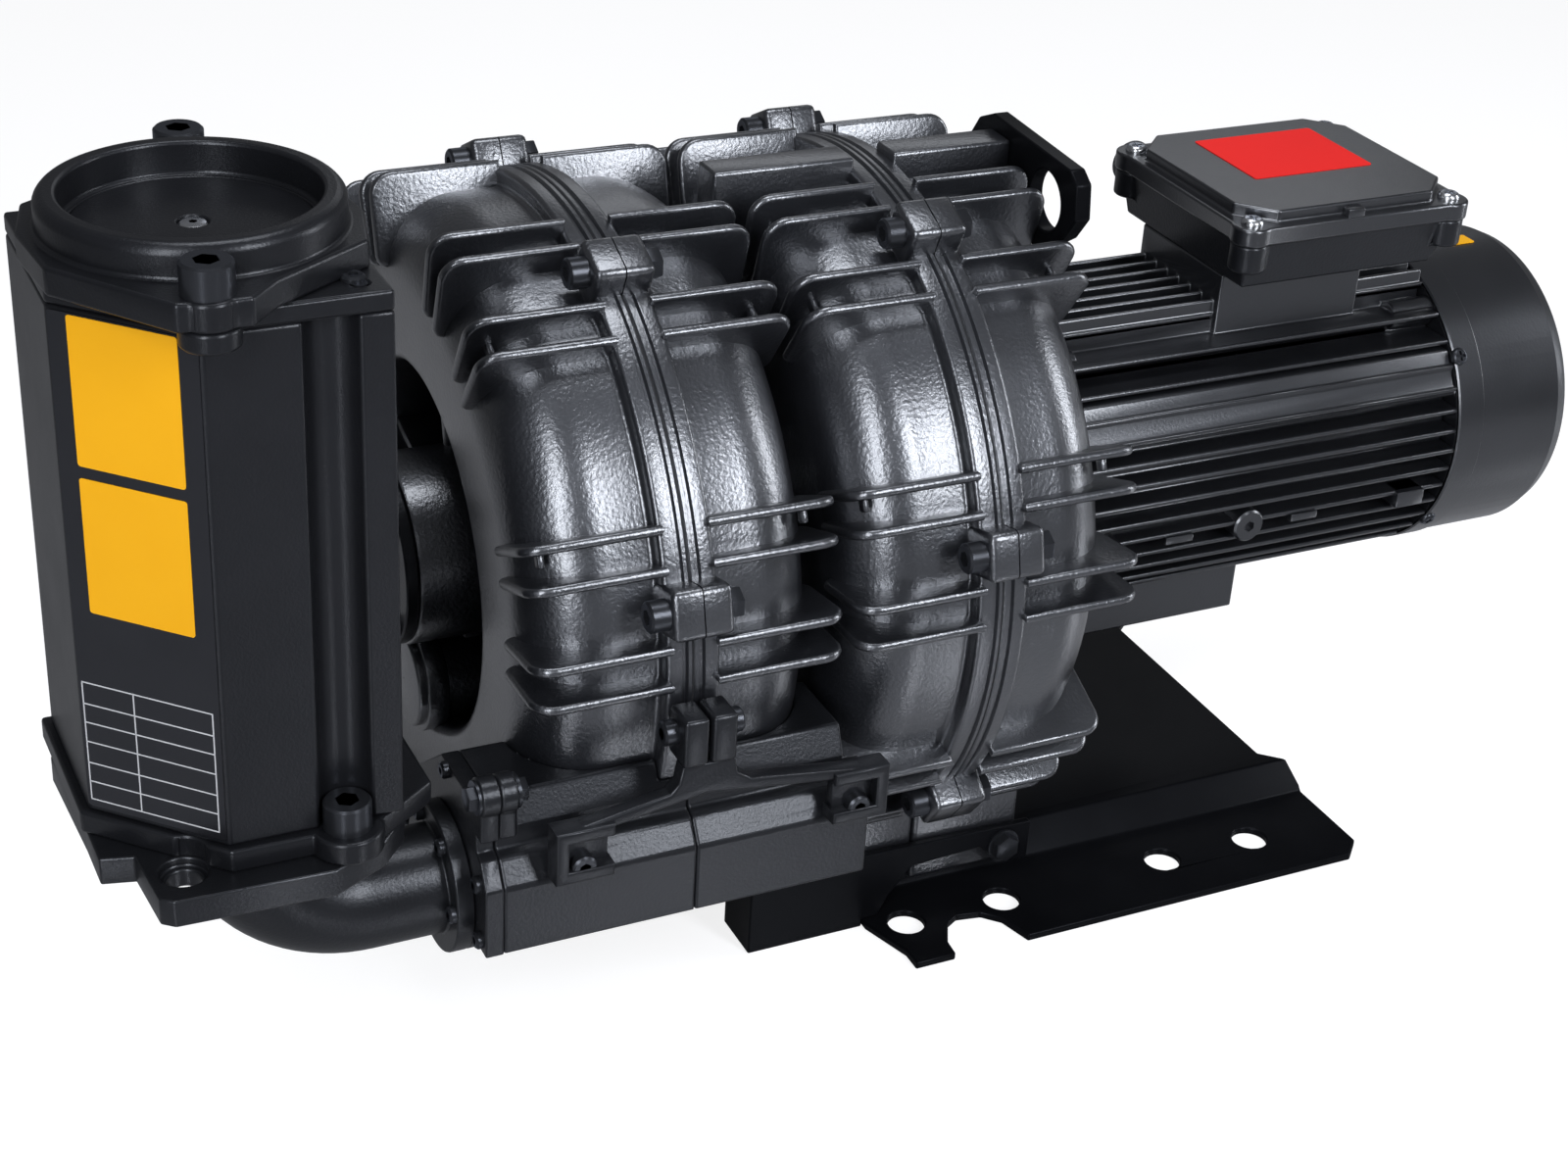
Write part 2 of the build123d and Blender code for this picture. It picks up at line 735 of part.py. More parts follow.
# Shaft seals, pressed in the hubs around the spacer sleeves
with BuildPart() as seals:
    for right, outer in ((left_shoulder + 12, small_bearing_radius),
                         (stage_1_x + mid_reach - 14, sleeve_bore),
                         (stage_2_x - mid_reach + 24, sleeve_bore),
                         (stage_2_x + inner_boss_reach - 2, sleeve_bore)):
        with BuildSketch(cross_plane(right)):
            Circle(outer)
            Circle(spacer_radius + running_gap, mode=Mode.SUBTRACT)
        extrude(amount=seal_width)
seals.part.label = "shaft_seals"
export_step(seals.part, "parts/shaft_seals.step")


# Bearings: the outer part with its shields stays in the housing, the inner race turns
small_size = (small_bearing_width, small_bearing_radius, journal_radius)
large_size = (large_bearing_width, large_bearing_radius, shaft_radius)
for place, left, (width, outer, inner) in (("outboard", left_shoulder - small_bearing_width, small_size),
                                           ("drive_end", drive_bearing_left, large_size),
                                           ("rear", rear_bearing_left, small_size)):
    with BuildPart() as outer_ring:
        with BuildSketch(cross_plane(left + width)):
            Circle(outer)
            Circle(race_radius + running_gap, mode=Mode.SUBTRACT)
        extrude(amount=width)
    name = f"{place}_bearing_outer"
    outer_ring.part.label = name
    export_step(outer_ring.part, f"parts/{name}.step")
    with BuildPart() as inner_ring:
        with BuildSketch(cross_plane(left + width)):
            Circle(race_radius)
            Circle(inner + fit_gap, mode=Mode.SUBTRACT)
        extrude(amount=width)
    name = f"{place}_bearing_inner"
    inner_ring.part.label = name
    export_step(inner_ring.part, f"parts/{name}.step")


# Cover over the outboard bearing, with its four screws
with BuildPart() as bearing_cover:
    with BuildSketch(cross_plane(stage_1_x - hub_reach)):
        Circle(hub_radius - 1)
    extrude(amount=cover_thick)
    with BuildSketch(cross_plane(left_shoulder - small_bearing_width)):
        Circle(small_bearing_radius - 0.1)
        Circle(race_radius, mode=Mode.SUBTRACT)
    extrude(amount=left_shoulder - small_bearing_width - stage_1_x + hub_reach)
    with BuildSketch(cross_plane(stage_1_x - hub_reach)):
        with PolarLocations(cover_bolt_circle, 4, start_angle=45):
            Circle(cover_bolt_radius + bolt_clearance)
    extrude(amount=cover_thick, mode=Mode.SUBTRACT)
bearing_cover.part.label = "bearing_cover"
export_step(bearing_cover.part, "parts/bearing_cover.step")

with BuildPart() as bearing_screws:
    hub_face = stage_1_x - hub_reach
    for right, size, length in ((hub_face + cover_bolt_depth, cover_bolt_radius, cover_bolt_depth + 8),
                                (hub_face - cover_thick, cover_bolt_head, 5)):
        with BuildSketch(cross_plane(right)):
            with PolarLocations(cover_bolt_circle, 4, start_angle=45):
                Circle(size)
        extrude(amount=length)
bearing_screws.part.label = "bearing_cover_screws"
export_step(bearing_screws.part, "parts/bearing_cover_screws.step")


# Motor: finned housing with the terminal box seat, the bottom pad and four lugs at each end
with BuildPart() as motor_housing:
    with BuildSketch(cross_plane(motor_end)):
        Circle(motor_core)
        Rectangle(2 * fin_radius, fin_thick)
        for n in range(1, fin_rows + 1):
            with Locations((0, n * fin_pitch), (0, -n * fin_pitch)):
                Rectangle(2 * (fin_radius**2 - (n * fin_pitch)**2)**0.5 - 1, fin_thick)
    extrude(amount=motor_length)
    with BuildSketch(cross_plane(motor_end - 2)):
        for n in range(-top_fins, top_fins + 1):
            with Locations((n * fin_pitch, fin_radius / 2 + 0.5)):
                Rectangle(fin_thick, fin_radius + 1)
        for end in (-1, 1):
            with BuildLine():
                Polyline((end * 40, side_pad_low), (end * side_pad_out, side_pad_low),
                         (end * side_pad_in, side_pad_high), (end * 40, side_pad_high), close=True)
            make_face()
    extrude(amount=motor_length - 4)
    for right, reach in ((motor_end, lug_reach), (motor_start + lug_reach, lug_reach)):
        with BuildSketch(cross_plane(right)):
            with Locations(*lug_places):
                Circle(lug_radius)
        extrude(amount=reach)
    with BuildSketch(Plane.XY.offset(shaft_height)):
        with Locations((neck_x, 0)):
            Rectangle(neck_length, neck_width)
    extrude(amount=box_floor - shaft_height)
    with BuildSketch(Plane.XY.offset(pad_low)):
        with Locations((pad_x, 0)):
            Rectangle(pad_length, pad_width)
    extrude(amount=shaft_height - pad_low)
    with BuildSketch(cross_plane(motor_end)):
        Circle(motor_bore)
    extrude(amount=motor_length, mode=Mode.SUBTRACT)
    with BuildSketch(Plane.XY.offset(box_floor)):
        with Locations((neck_x, 0)):
            Circle(wire_hole_radius)
    extrude(amount=-(box_floor - shaft_height), mode=Mode.SUBTRACT)
    for right in (motor_end, motor_start + lug_reach):
        with BuildSketch(cross_plane(right)):
            with Locations(*lug_places):
                Circle(lug_bolt_bore)
        extrude(amount=lug_reach, mode=Mode.SUBTRACT)
motor_housing.part.label = "motor_housing"
export_step(motor_housing.part, "parts/motor_housing.step")


# Stator core and windings
with BuildPart() as stator_core:
    with BuildSketch(cross_plane(core_left + core_length)):
        Circle(motor_bore - fit_gap)
        Circle(rotor_radius + air_gap, mode=Mode.SUBTRACT)
    extrude(amount=core_length)
stator_core.part.label = "stator_core"
export_step(stator_core.part, "parts/stator_core.step")

with BuildPart() as windings:
    for right in (core_left, core_left + core_length + winding_length):
        with BuildSketch(cross_plane(right)):
            Circle(winding_outer)
            Circle(winding_inner, mode=Mode.SUBTRACT)
        extrude(amount=winding_length)
windings.part.label = "stator_windings"
export_step(windings.part, "parts/stator_windings.step")

with BuildPart() as rotor_core:
    with BuildSketch(cross_plane(core_left + core_length)):
        Circle(rotor_radius)
        Circle(rotor_seat_radius + fit_gap, mode=Mode.SUBTRACT)
    extrude(amount=core_length)
rotor_core.part.label = "rotor_core"
export_step(rotor_core.part, "parts/rotor_core.step")


# Endshields: bearing seats at both ends of the motor
with BuildPart() as drive_endshield:
    with BuildSketch(cross_plane(motor_start)):
        Circle(shield_radius)
    extrude(amount=motor_start - shield_left)
    with BuildSketch(cross_plane(drive_bearing_left + large_bearing_width + 2)):
        Circle(large_bearing_radius + 7)
    extrude(amount=drive_bearing_left + large_bearing_width + 2 - motor_start)
    with BuildSketch(cross_plane(motor_start + 4)):
        Circle(motor_bore - fit_gap)
        Circle(motor_bore - 8, mode=Mode.SUBTRACT)
    extrude(amount=4)
    with BuildSketch(cross_plane(drive_bearing_left + large_bearing_width)):
        Circle(large_bearing_radius + fit_gap)
    extrude(amount=large_bearing_width + 12, mode=Mode.SUBTRACT)
    with BuildSketch(cross_plane(drive_bearing_left + large_bearing_width + 2)):
        Circle(race_radius + 2)
    extrude(amount=3, mode=Mode.SUBTRACT)
    with BuildSketch(cross_plane(motor_start)):
        with Locations(*lug_places):
            Circle(lug_bolt_bore)
    extrude(amount=motor_start - shield_left, mode=Mode.SUBTRACT)
drive_endshield.part.label = "drive_endshield"
export_step(drive_endshield.part, "parts/drive_endshield.step")

with BuildPart() as rear_endshield:
    with BuildSketch(cross_plane(motor_end + rear_shield_thick)):
        Circle(fin_radius - cowl_wall - running_gap)
    extrude(amount=rear_shield_thick)
    with BuildSketch(cross_plane(motor_end)):
        Circle(motor_bore - fit_gap)
        Circle(motor_bore - 8, mode=Mode.SUBTRACT)
    extrude(amount=4)
    with BuildSketch(cross_plane(motor_end)):
        Circle(small_bearing_radius + 6)
    extrude(amount=motor_end - rear_bearing_left)
    with BuildSketch(cross_plane(rear_bearing_left + small_bearing_width)):
        Circle(small_bearing_radius + fit_gap)
    extrude(amount=small_bearing_width + 1, mode=Mode.SUBTRACT)
    with BuildSketch(cross_plane(motor_end + rear_shield_thick)):
        Circle(journal_radius + 1)
    extrude(amount=rear_shield_thick + 2, mode=Mode.SUBTRACT)
    with BuildSketch(cross_plane(motor_end + rear_shield_thick)):
        with Locations(*lug_places):
            Circle(lug_bolt_bore)
    extrude(amount=rear_shield_thick, mode=Mode.SUBTRACT)
    with BuildSketch(*[tangent_plane(a, fin_radius, cowl_screw_x) for a in cowl_screw_angles]):
        Circle(cowl_screw_radius + fit_gap)
    extrude(amount=-cowl_screw_depth, mode=Mode.SUBTRACT)
rear_endshield.part.label = "rear_endshield"
export_step(rear_endshield.part, "parts/rear_endshield.step")

with BuildPart() as endshield_screws:
    for right, left in ((motor_start + lug_reach - 1, shield_left),
                        (motor_end + rear_shield_thick, motor_end - lug_reach + 1)):
        with BuildSketch(cross_plane(right)):
            with Locations(*lug_places):
                Circle(lug_screw_radius)
        extrude(amount=right - left)
    for right in (shield_left, motor_end + rear_shield_thick + 4):
        with BuildSketch(cross_plane(right)):
            with Locations(*lug_places):
                RegularPolygon(lug_bolt_head, 6)
        extrude(amount=4)
endshield_screws.part.label = "endshield_screws"
export_step(endshield_screws.part, "parts/endshield_screws.step")


# Cooling fan on the rear shaft end
fan_back = shaft_right - fan_hub_length
with BuildPart() as fan:
    with BuildSketch(cross_plane(shaft_right)):
        Circle(fan_hub_radius)
    extrude(amount=fan_hub_length)
    with BuildSketch(cross_plane(fan_back + 4)):
        Circle(fan_disc_radius)
    extrude(amount=3)
    with BuildSketch(*[radial_plane(360 / fan_blades * n) for n in range(fan_blades)]):
        with BuildLine():
            Polyline((fan_back + 2, fan_hub_radius - 2), (shaft_right - 2, fan_hub_radius - 2),
                     (shaft_right - 2, fan_radius), (fan_back + 6, fan_radius),
                     (fan_back + 2, fan_disc_radius), close=True)
        make_face()
    extrude(amount=fan_blade_thick / 2, both=True)
    with BuildSketch(cross_plane(shaft_right)):
        Circle(fan_seat_radius + fit_gap)
    extrude(amount=fan_hub_length, mode=Mode.SUBTRACT)
fan.part.label = "cooling_fan"
export_step(fan.part, "parts/cooling_fan.step")


# Pressed steel cowl with a slotted end, and its screws
with BuildPart() as fan_cowl:
    with BuildSketch(long_plane):
        with BuildLine():
            Polyline((motor_end, fin_radius - cowl_wall), (motor_end, fin_radius),
                     (cowl_end - 10, fin_radius), (cowl_end - 3, fin_radius - 3), (cowl_end, fin_radius - 10),
                     (cowl_end, 0), (cowl_end - cowl_wall, 0), (cowl_end - cowl_wall, fin_radius - 10),
                     (cowl_end - 4.2, fin_radius - 4.2), (cowl_end - 10, fin_radius - cowl_wall),
                     close=True)
        make_face()
    revolve(axis=shaft_axis)
    with BuildSketch(cross_plane(cowl_end + 1)):
        for radius, slots in grille_rings:
            with PolarLocations(radius, slots):
                Rectangle(grille_slot_length, grille_slot_width)
    extrude(amount=cowl_wall + 2, mode=Mode.SUBTRACT)
    with BuildSketch(*[tangent_plane(a, fin_radius, cowl_screw_x) for a in cowl_screw_angles]):
        Circle(cowl_screw_radius + bolt_clearance)
    extrude(amount=-2 * cowl_wall, mode=Mode.SUBTRACT)
fan_cowl.part.label = "fan_cowl"
export_step(fan_cowl.part, "parts/fan_cowl.step")

with BuildPart() as cowl_screws:
    with BuildSketch(*[tangent_plane(a, fin_radius, cowl_screw_x) for a in cowl_screw_angles]):
        Circle(cowl_screw_radius)
    extrude(amount=-cowl_screw_depth + 1)
    with BuildSketch(*[tangent_plane(a, fin_radius, cowl_screw_x) for a in cowl_screw_angles]):
        Circle(cowl_screw_head)
    extrude(amount=2.5)
cowl_screws.part.label = "cowl_screws"
export_step(cowl_screws.part, "parts/cowl_screws.step")


# Terminal box: drafted tray, lid with four screws, terminal block and cable gland
lid_corners = [(box_x + sx * lid_screw_x, sy * lid_screw_y) for sx in (-1, 1) for sy in (-1, 1)]
with BuildPart() as box_tray:
    with BuildSketch(Plane.XY.offset(lid_low)):
        with Locations((box_x, 0)):
            Rectangle(box_length, box_width)
    with BuildSketch(Plane.XY.offset(box_floor)):
        with Locations((box_x - 3, 0)):
            Rectangle(box_length - 14, box_width - 10)
    loft()
    with BuildSketch(Plane.XY.offset(lid_low - ear_drop)):
        with Locations(*lid_corners):
            Circle(ear_radius)
    extrude(amount=ear_drop)
    with BuildSketch(Plane.XY.offset(box_floor + box_wall)):
        with Locations((box_x - 2, 0)):
            Rectangle(box_length - 26, box_width - 24)
    extrude(amount=lid_low - box_floor, mode=Mode.SUBTRACT)
    with BuildSketch(Plane.XY.offset(box_floor)):
        with Locations((neck_x, 0)):
            Circle(wire_hole_radius)
    extrude(amount=box_wall, mode=Mode.SUBTRACT)
    with BuildSketch(Plane.XY.offset(lid_low)):
        with Locations(*lid_corners):
            Circle(lid_screw_radius + fit_gap)
    extrude(amount=-lid_screw_depth, mode=Mode.SUBTRACT)
    with BuildSketch(Plane.XZ.offset(-box_width / 2 - 1)):
        with Locations((gland_x, gland_z)):
            Circle(gland_thread + fit_gap)
    extrude(amount=16, mode=Mode.SUBTRACT)
box_tray.part.label = "terminal_box_base"
export_step(box_tray.part, "parts/terminal_box_base.step")

with BuildPart() as box_lid:
    with BuildSketch(Plane.XY.offset(lid_low)) as lid_outline:
        with Locations((box_x, 0)):
            Rectangle(box_length + 2 * lid_overhang, box_width + 2 * lid_overhang)
        chamfer(lid_outline.vertices(), 6)
        with Locations(*lid_corners):
            Circle(ear_radius + 1)
    extrude(amount=lid_step)
    with BuildSketch(Plane.XY.offset(lid_low + lid_step)) as crown:
        with Locations((box_x, 0)):
            Rectangle(box_length - 4, box_width - 4)
        chamfer(crown.vertices(), 16)
    extrude(amount=lid_top - lid_low - lid_step)
    with BuildSketch(Plane.XY.offset(lid_low)):
        with Locations((box_x, 0)):
            Rectangle(box_length - 30, box_width - 30)
    extrude(amount=lid_top - lid_low - 3, mode=Mode.SUBTRACT)
    with BuildSketch(Plane.XY.offset(lid_top)):
        with Locations(*lid_corners):
            Circle(lid_screw_radius + bolt_clearance)
    extrude(amount=-lid_thick, mode=Mode.SUBTRACT)
box_lid.part.label = "terminal_box_lid"
export_step(box_lid.part, "parts/terminal_box_lid.step")

with BuildPart() as lid_screws:
    with BuildSketch(Plane.XY.offset(lid_low + lid_step)):
        with Locations(*lid_corners):
            Circle(lid_screw_radius)
    extrude(amount=-lid_screw_depth - lid_step + 1)
    with BuildSketch(Plane.XY.offset(lid_low + lid_step)):
        with Locations(*lid_corners):
            Circle(lid_screw_head)
    extrude(amount=3)
lid_screws.part.label = "terminal_lid_screws"
export_step(lid_screws.part, "parts/terminal_lid_screws.step")

with BuildPart() as terminals:
    with BuildSketch(Plane.XY.offset(box_floor + box_wall)):
        with Locations((box_x + 34, 0)):
            Rectangle(24, 66)
    extrude(amount=10)
    with BuildSketch(Plane.XY.offset(box_floor + box_wall + 10)):
        with Locations((box_x + 34, 0)):
            with GridLocations(11, 20, 2, 3):
                Circle(2.5)
    extrude(amount=10)
terminals.part.label = "terminal_block"
export_step(terminals.part, "parts/terminal_block.step")

with BuildPart() as gland:
    with BuildSketch(Plane.XZ.offset(-gland_face)):
        with Locations((gland_x, gland_z)):
            RegularPolygon(gland_hex, 6)
    extrude(amount=-6)
    with BuildSketch(Plane.XZ.offset(-gland_face - 6)):
        with Locations((gland_x, gland_z)):
            Circle(gland_cap)
    extrude(amount=-14)
    with BuildSketch(Plane.XZ.offset(-box_width / 2 + 11)):
        with Locations((gland_x, gland_z)):
            Circle(gland_thread)
    extrude(amount=-gland_face + box_width / 2 - 11)
    with BuildSketch(Plane.XZ.offset(-box_width / 2 + 11)):
        with Locations((gland_x, gland_z)):
            Circle(gland_bore)
    extrude(amount=-40, mode=Mode.SUBTRACT)
gland.part.label = "cable_gland"
export_step(gland.part, "parts/cable_gland.step")


# Base plate: one bent sheet with a raised middle, slotted for the foundation bolts
with BuildPart() as base_plate:
    with BuildSketch(Plane.YZ.offset(plate_left)):
        with BuildLine():
            Polyline((-plate_depth, 0), (plate_slope - bend_out, 0), (plate_slope - bend_in, plate_rise),
                     (bend_in - plate_slope, plate_rise), (bend_out - plate_slope, 0), (plate_depth, 0),
                     (plate_depth, plate_thick), (bend_out, plate_thick),
                     (bend_in, plate_rise + plate_thick), (-bend_in, plate_rise + plate_thick),
                     (-bend_out, plate_thick), (-plate_depth, plate_thick), close=True)
        make_face()
    extrude(amount=plate_right - plate_left)
    with BuildSketch(Plane.XY):
        with BuildLine():
            Polyline((plate_left, -plate_depth), (plate_left + 9, -plate_depth),
                     (plate_left + 9, 10 - plate_depth), (plate_left, 37 - plate_depth), close=True)
        make_face()
        with BuildLine():
            Polyline(plate_notch, close=True)
        make_face()
        with Locations(*[(sx * foot_hole_x, sy * foot_hole_y) for sx in (-1, 1) for sy in (-1, 1)]):
            Circle(foot_hole_radius)
        with Locations(*[(sx * inner_hole_x, sy * foot_hole_y) for sx in (-1, 1) for sy in (-1, 1)]):
            Circle(foot_hole_radius)
        with Locations(*foot_bolt_places):
            Circle(foot_bolt_radius + bolt_clearance)
        for end in (-1, 1):
            with BuildLine():
                Polyline((plate_right, -end * plate_depth), (plate_right - 10, -end * plate_depth),
                         (plate_right, -end * (plate_depth - 10)), close=True)
            make_face()
        with BuildLine():
            Polyline((plate_right + 1, -bend_out), (plate_right - 4, -bend_in),
                     (plate_right - 15, 10 - bend_in), (plate_right - 15, bend_in - 10),
                     (plate_right - 4, bend_in), (plate_right + 1, bend_out), close=True)
        make_face()
    extrude(amount=2 * plate_rise, mode=Mode.SUBTRACT)
base_plate.part.label = "base_plate"
export_step(base_plate.part, "parts/base_plate.step")

# Support brackets beside the feet; the front one also carries the inlet box
for name, y_side, profile in (("front_support_bracket", -1, bracket_foot + bracket_column),
                              ("rear_support_bracket", 1, bracket_foot + bracket_corner)):
    with BuildPart() as bracket:
        with BuildSketch(Plane.XZ.offset(-y_side * (foot_out + clear))):
            with BuildLine():
                Polyline(profile, close=True)
            make_face()
            with Locations((bracket_bolt_x, bracket_bolt_z)):
                Circle(foot_bolt_radius + bolt_clearance, mode=Mode.SUBTRACT)
        extrude(amount=-y_side * plate_thick)
        with BuildSketch(Plane.XY):
            with Locations((profile[0][0] + plate_thick / 2, y_side * (bracket_y + bracket_flange_in) / 2)):
                Rectangle(plate_thick, bracket_y - bracket_flange_in)
        extrude(amount=bracket_flange_high)
        if y_side < 0:
            with BuildSketch(Plane.XY.offset(port_low)):
                with Locations((bracket_shelf_x, -(foot_out + clear + bracket_shelf_out) / 2)):
                    Rectangle(bracket_shelf_length, bracket_shelf_out - foot_out - clear)
            extrude(amount=-plate_thick)
    bracket.part.label = name
    export_step(bracket.part, f"parts/{name}.step")


def stage_envelope(stage_x, gap):
    """Outline of a stage grown by a gap, taken away from the port boxes."""
    with BuildPart() as grown:
        for side in (-1, 1):
            with BuildSketch(long_plane):
                with BuildLine():
                    tube_edge(stage_x, side, gap)
                    Polyline((stage_x + side * (tube_half + gap), tube_radius - tube_corner),
                             (stage_x + side * (tube_half + gap), 0), (stage_x + side * seam, 0))
                make_face()
            revolve(axis=shaft_axis)
        with BuildSketch(cross_plane(stage_x + 1)):
            Circle(band_radius + gap)
        extrude(amount=2)
    return grown


# Port boxes: a hollow box against the lower side of a stage, front for the inlet, rear for the outlet
def port_box(y_side, left, right, stage_x, other_x, window_x):
    with BuildPart() as cavity:
        with BuildSketch(Plane.YZ.offset(left + port_wall)):
            with BuildLine():
                Polyline([(y_side * y, z) for y, z in port_cavity], close=True)
            make_face()
        extrude(amount=right - left - 2 * port_wall)
        add(stage_envelope(stage_x, clear + port_wall).part, mode=Mode.SUBTRACT)
        if other_x is not None:
            with BuildSketch(cross_plane(right + 1)):
                Circle(rib_radius + 1 + port_wall)
            extrude(amount=right + 1 - other_x + rib_half + 2 + port_wall, mode=Mode.SUBTRACT)
    with BuildPart() as box:
        with BuildSketch(Plane.YZ.offset(left)):
            with BuildLine():
                Polyline([(y_side * y, z) for y, z in port_profile], close=True)
            make_face()
        extrude(amount=right - left)
        add(stage_envelope(stage_x, clear).part, mode=Mode.SUBTRACT)
        if other_x is not None:
            with BuildSketch(cross_plane(right + 1)):
                Circle(rib_radius + 1)
            extrude(amount=right + 1 - other_x + rib_half + 2, mode=Mode.SUBTRACT)
        add(cavity.part, mode=Mode.SUBTRACT)
        with BuildSketch(radial_plane(port_window_angle if y_side < 0 else 180 - port_window_angle)):
            with Locations((window_x, tube_radius)):
                Rectangle(window_length, window_depth)
        extrude(amount=window_width / 2, both=True, mode=Mode.SUBTRACT)
    return box


def keeper_block(low, high):
    """Block that keeps one length of a port box."""
    with BuildPart() as block:
        with Locations(((low + high) / 2, 0, shaft_height)):
            Box(high - low, 4 * port_front, 4 * port_front)
    return block


inlet_box = port_box(-1, inlet_left, inlet_right, stage_1_x, stage_2_x, stage_1_x - tube_half / 2)
outlet_box = port_box(1, outlet_left, outlet_right, stage_2_x, None, stage_2_x + tube_half / 2)
left_part = keeper_block(inlet_left - 1, stage_1_x)
right_part = keeper_block(stage_1_x, inlet_right + 1)

with BuildPart() as inlet_left_box:
    add(inlet_box.part)
    add(left_part.part, mode=Mode.INTERSECT)
    with BuildSketch(Plane.YZ.offset(inlet_left)):
        with Locations((-ear_y, ear_z)):
            Circle(cap_ear_radius)
        with Locations((2 - ear_y, ear_z - 12)):
            Rectangle(14, 16)
    extrude(amount=cap_thick)
    with BuildSketch(Plane.YZ.offset(inlet_left)) as opening:
        with Locations((-pipe_y, pipe_z)):
            Circle(pipe_bore)
        with Locations((-pipe_y, port_low)):
            Rectangle(4 * pipe_bore, 2 * port_wall, mode=Mode.SUBTRACT)
        with Locations(*[(-y, z) for y, z in cap_screw_places]):
            Circle(cap_screw_radius + fit_gap)
        with Locations((-ear_y, ear_z)):
            Circle(yoke_screw_radius + bolt_clearance)
    extrude(amount=2 * port_wall, mode=Mode.SUBTRACT)
    with BuildSketch(Plane.XZ.offset(port_front)):
        with Locations((yoke_left_x, yoke_screw_z)):
            Circle(yoke_screw_radius + fit_gap)
    extrude(amount=-yoke_screw_depth, mode=Mode.SUBTRACT)
inlet_left_box.part.label = "inlet_port_box_left"
export_step(inlet_left_box.part, "parts/inlet_port_box_left.step")

with BuildPart() as inlet_right_box:
    add(inlet_box.part)
    add(right_part.part, mode=Mode.INTERSECT)
    with BuildSketch(Plane.XZ.offset(port_front)):
        with Locations((yoke_right_x, yoke_screw_z)):
            Circle(yoke_screw_radius + fit_gap)
    extrude(amount=-yoke_screw_depth, mode=Mode.SUBTRACT)
inlet_right_box.part.label = "inlet_port_box_right"
export_step(inlet_right_box.part, "parts/inlet_port_box_right.step")

with BuildPart() as outlet_part:
    add(outlet_box.part)
    with BuildSketch(Plane.YZ.offset(outlet_right)):
        with Locations((pipe_y, outlet_z)):
            Circle(pipe_bore)
        with Locations(*cap_screw_places):
            Circle(cap_screw_radius + fit_gap)
    extrude(amount=-port_wall, mode=Mode.SUBTRACT)
outlet_part.part.label = "outlet_port_box"
export_step(outlet_part.part, "parts/outlet_port_box.step")


# End covers: the inlet cover carries the elbow, the outlet cover has a pipe stub
for name, y_side, start, thick, centre_z in (("inlet_end_cover", -1, inlet_left, -cap_thick, pipe_z),
                                             ("outlet_end_cover", 1, outlet_right, cap_thick, outlet_z)):
    with BuildPart() as cover:
        with BuildSketch(Plane.YZ.offset(start)):
            with BuildLine():
                Polyline([(y_side * y, z) for y, z in port_profile], close=True)
            make_face()
            with Locations((y_side * pipe_y, centre_z)):
                Circle(pipe_flange_radius)
            if y_side < 0:
                with Locations((-ear_y, ear_z)):
                    Circle(cap_ear_radius)
                with Locations((2 - ear_y, ear_z - 12)):
                    Rectangle(14, 16)
        extrude(amount=thick)
        if y_side > 0:
            with BuildSketch(Plane.YZ.offset(start + thick)):
                with Locations((pipe_y, outlet_z)):
                    Circle(pipe_radius)
            extrude(amount=outlet_stub)
            with BuildSketch(Plane.YZ.offset(start + thick)):
                with Locations((pipe_y, outlet_z)):
                    Circle(pipe_bore)
            extrude(amount=outlet_stub, mode=Mode.SUBTRACT)
        with BuildSketch(Plane.YZ.offset(start)):
            with Locations((y_side * pipe_y, centre_z)):
                Circle(pipe_bore)
            if y_side < 0:
                with Locations((-pipe_y, port_low)):
                    Rectangle(4 * pipe_bore, 2 * port_wall, mode=Mode.SUBTRACT)
            with Locations(*[(y_side * y, z) for y, z in cap_screw_places]):
                Circle(cap_screw_radius + bolt_clearance)
            if y_side < 0:
                with Locations((-ear_y, ear_z)):
                    Circle(yoke_screw_radius + bolt_clearance)
                with Locations(*elbow_screw_places):
                    Circle(cap_screw_radius + fit_gap)
        extrude(amount=thick, mode=Mode.SUBTRACT)
    cover.part.label = name
    export_step(cover.part, f"parts/{name}.step")

with BuildPart() as cover_screws:
    for y_side, outside, inward in ((-1, inlet_left - cap_thick, 1), (1, outlet_right + cap_thick, -1)):
        places = [(y_side * y, z) for y, z in cap_screw_places]
        with BuildSketch(Plane.YZ.offset(outside)):
            with Locations(*places):
                Circle(cap_screw_radius)
        extrude(amount=inward * (cap_thick + port_wall - 0.5))
        with BuildSketch(Plane.YZ.offset(outside)):
            with Locations(*places):
                Circle(cap_screw_head)
        extrude(amount=-inward * 3)
    with BuildSketch(Plane.YZ.offset(inlet_left - cap_thick - elbow_flange_thick)):
        with Locations(*elbow_screw_places):
            Circle(cap_screw_radius)
    extrude(amount=elbow_flange_thick + cap_thick - 1)
    with BuildSketch(Plane.YZ.offset(inlet_left - cap_thick - elbow_flange_thick)):
        with Locations(*elbow_screw_places):
            Circle(cap_screw_head)
    extrude(amount=-3)
cover_screws.part.label = "cover_screws"
export_step(cover_screws.part, "parts/cover_screws.step")


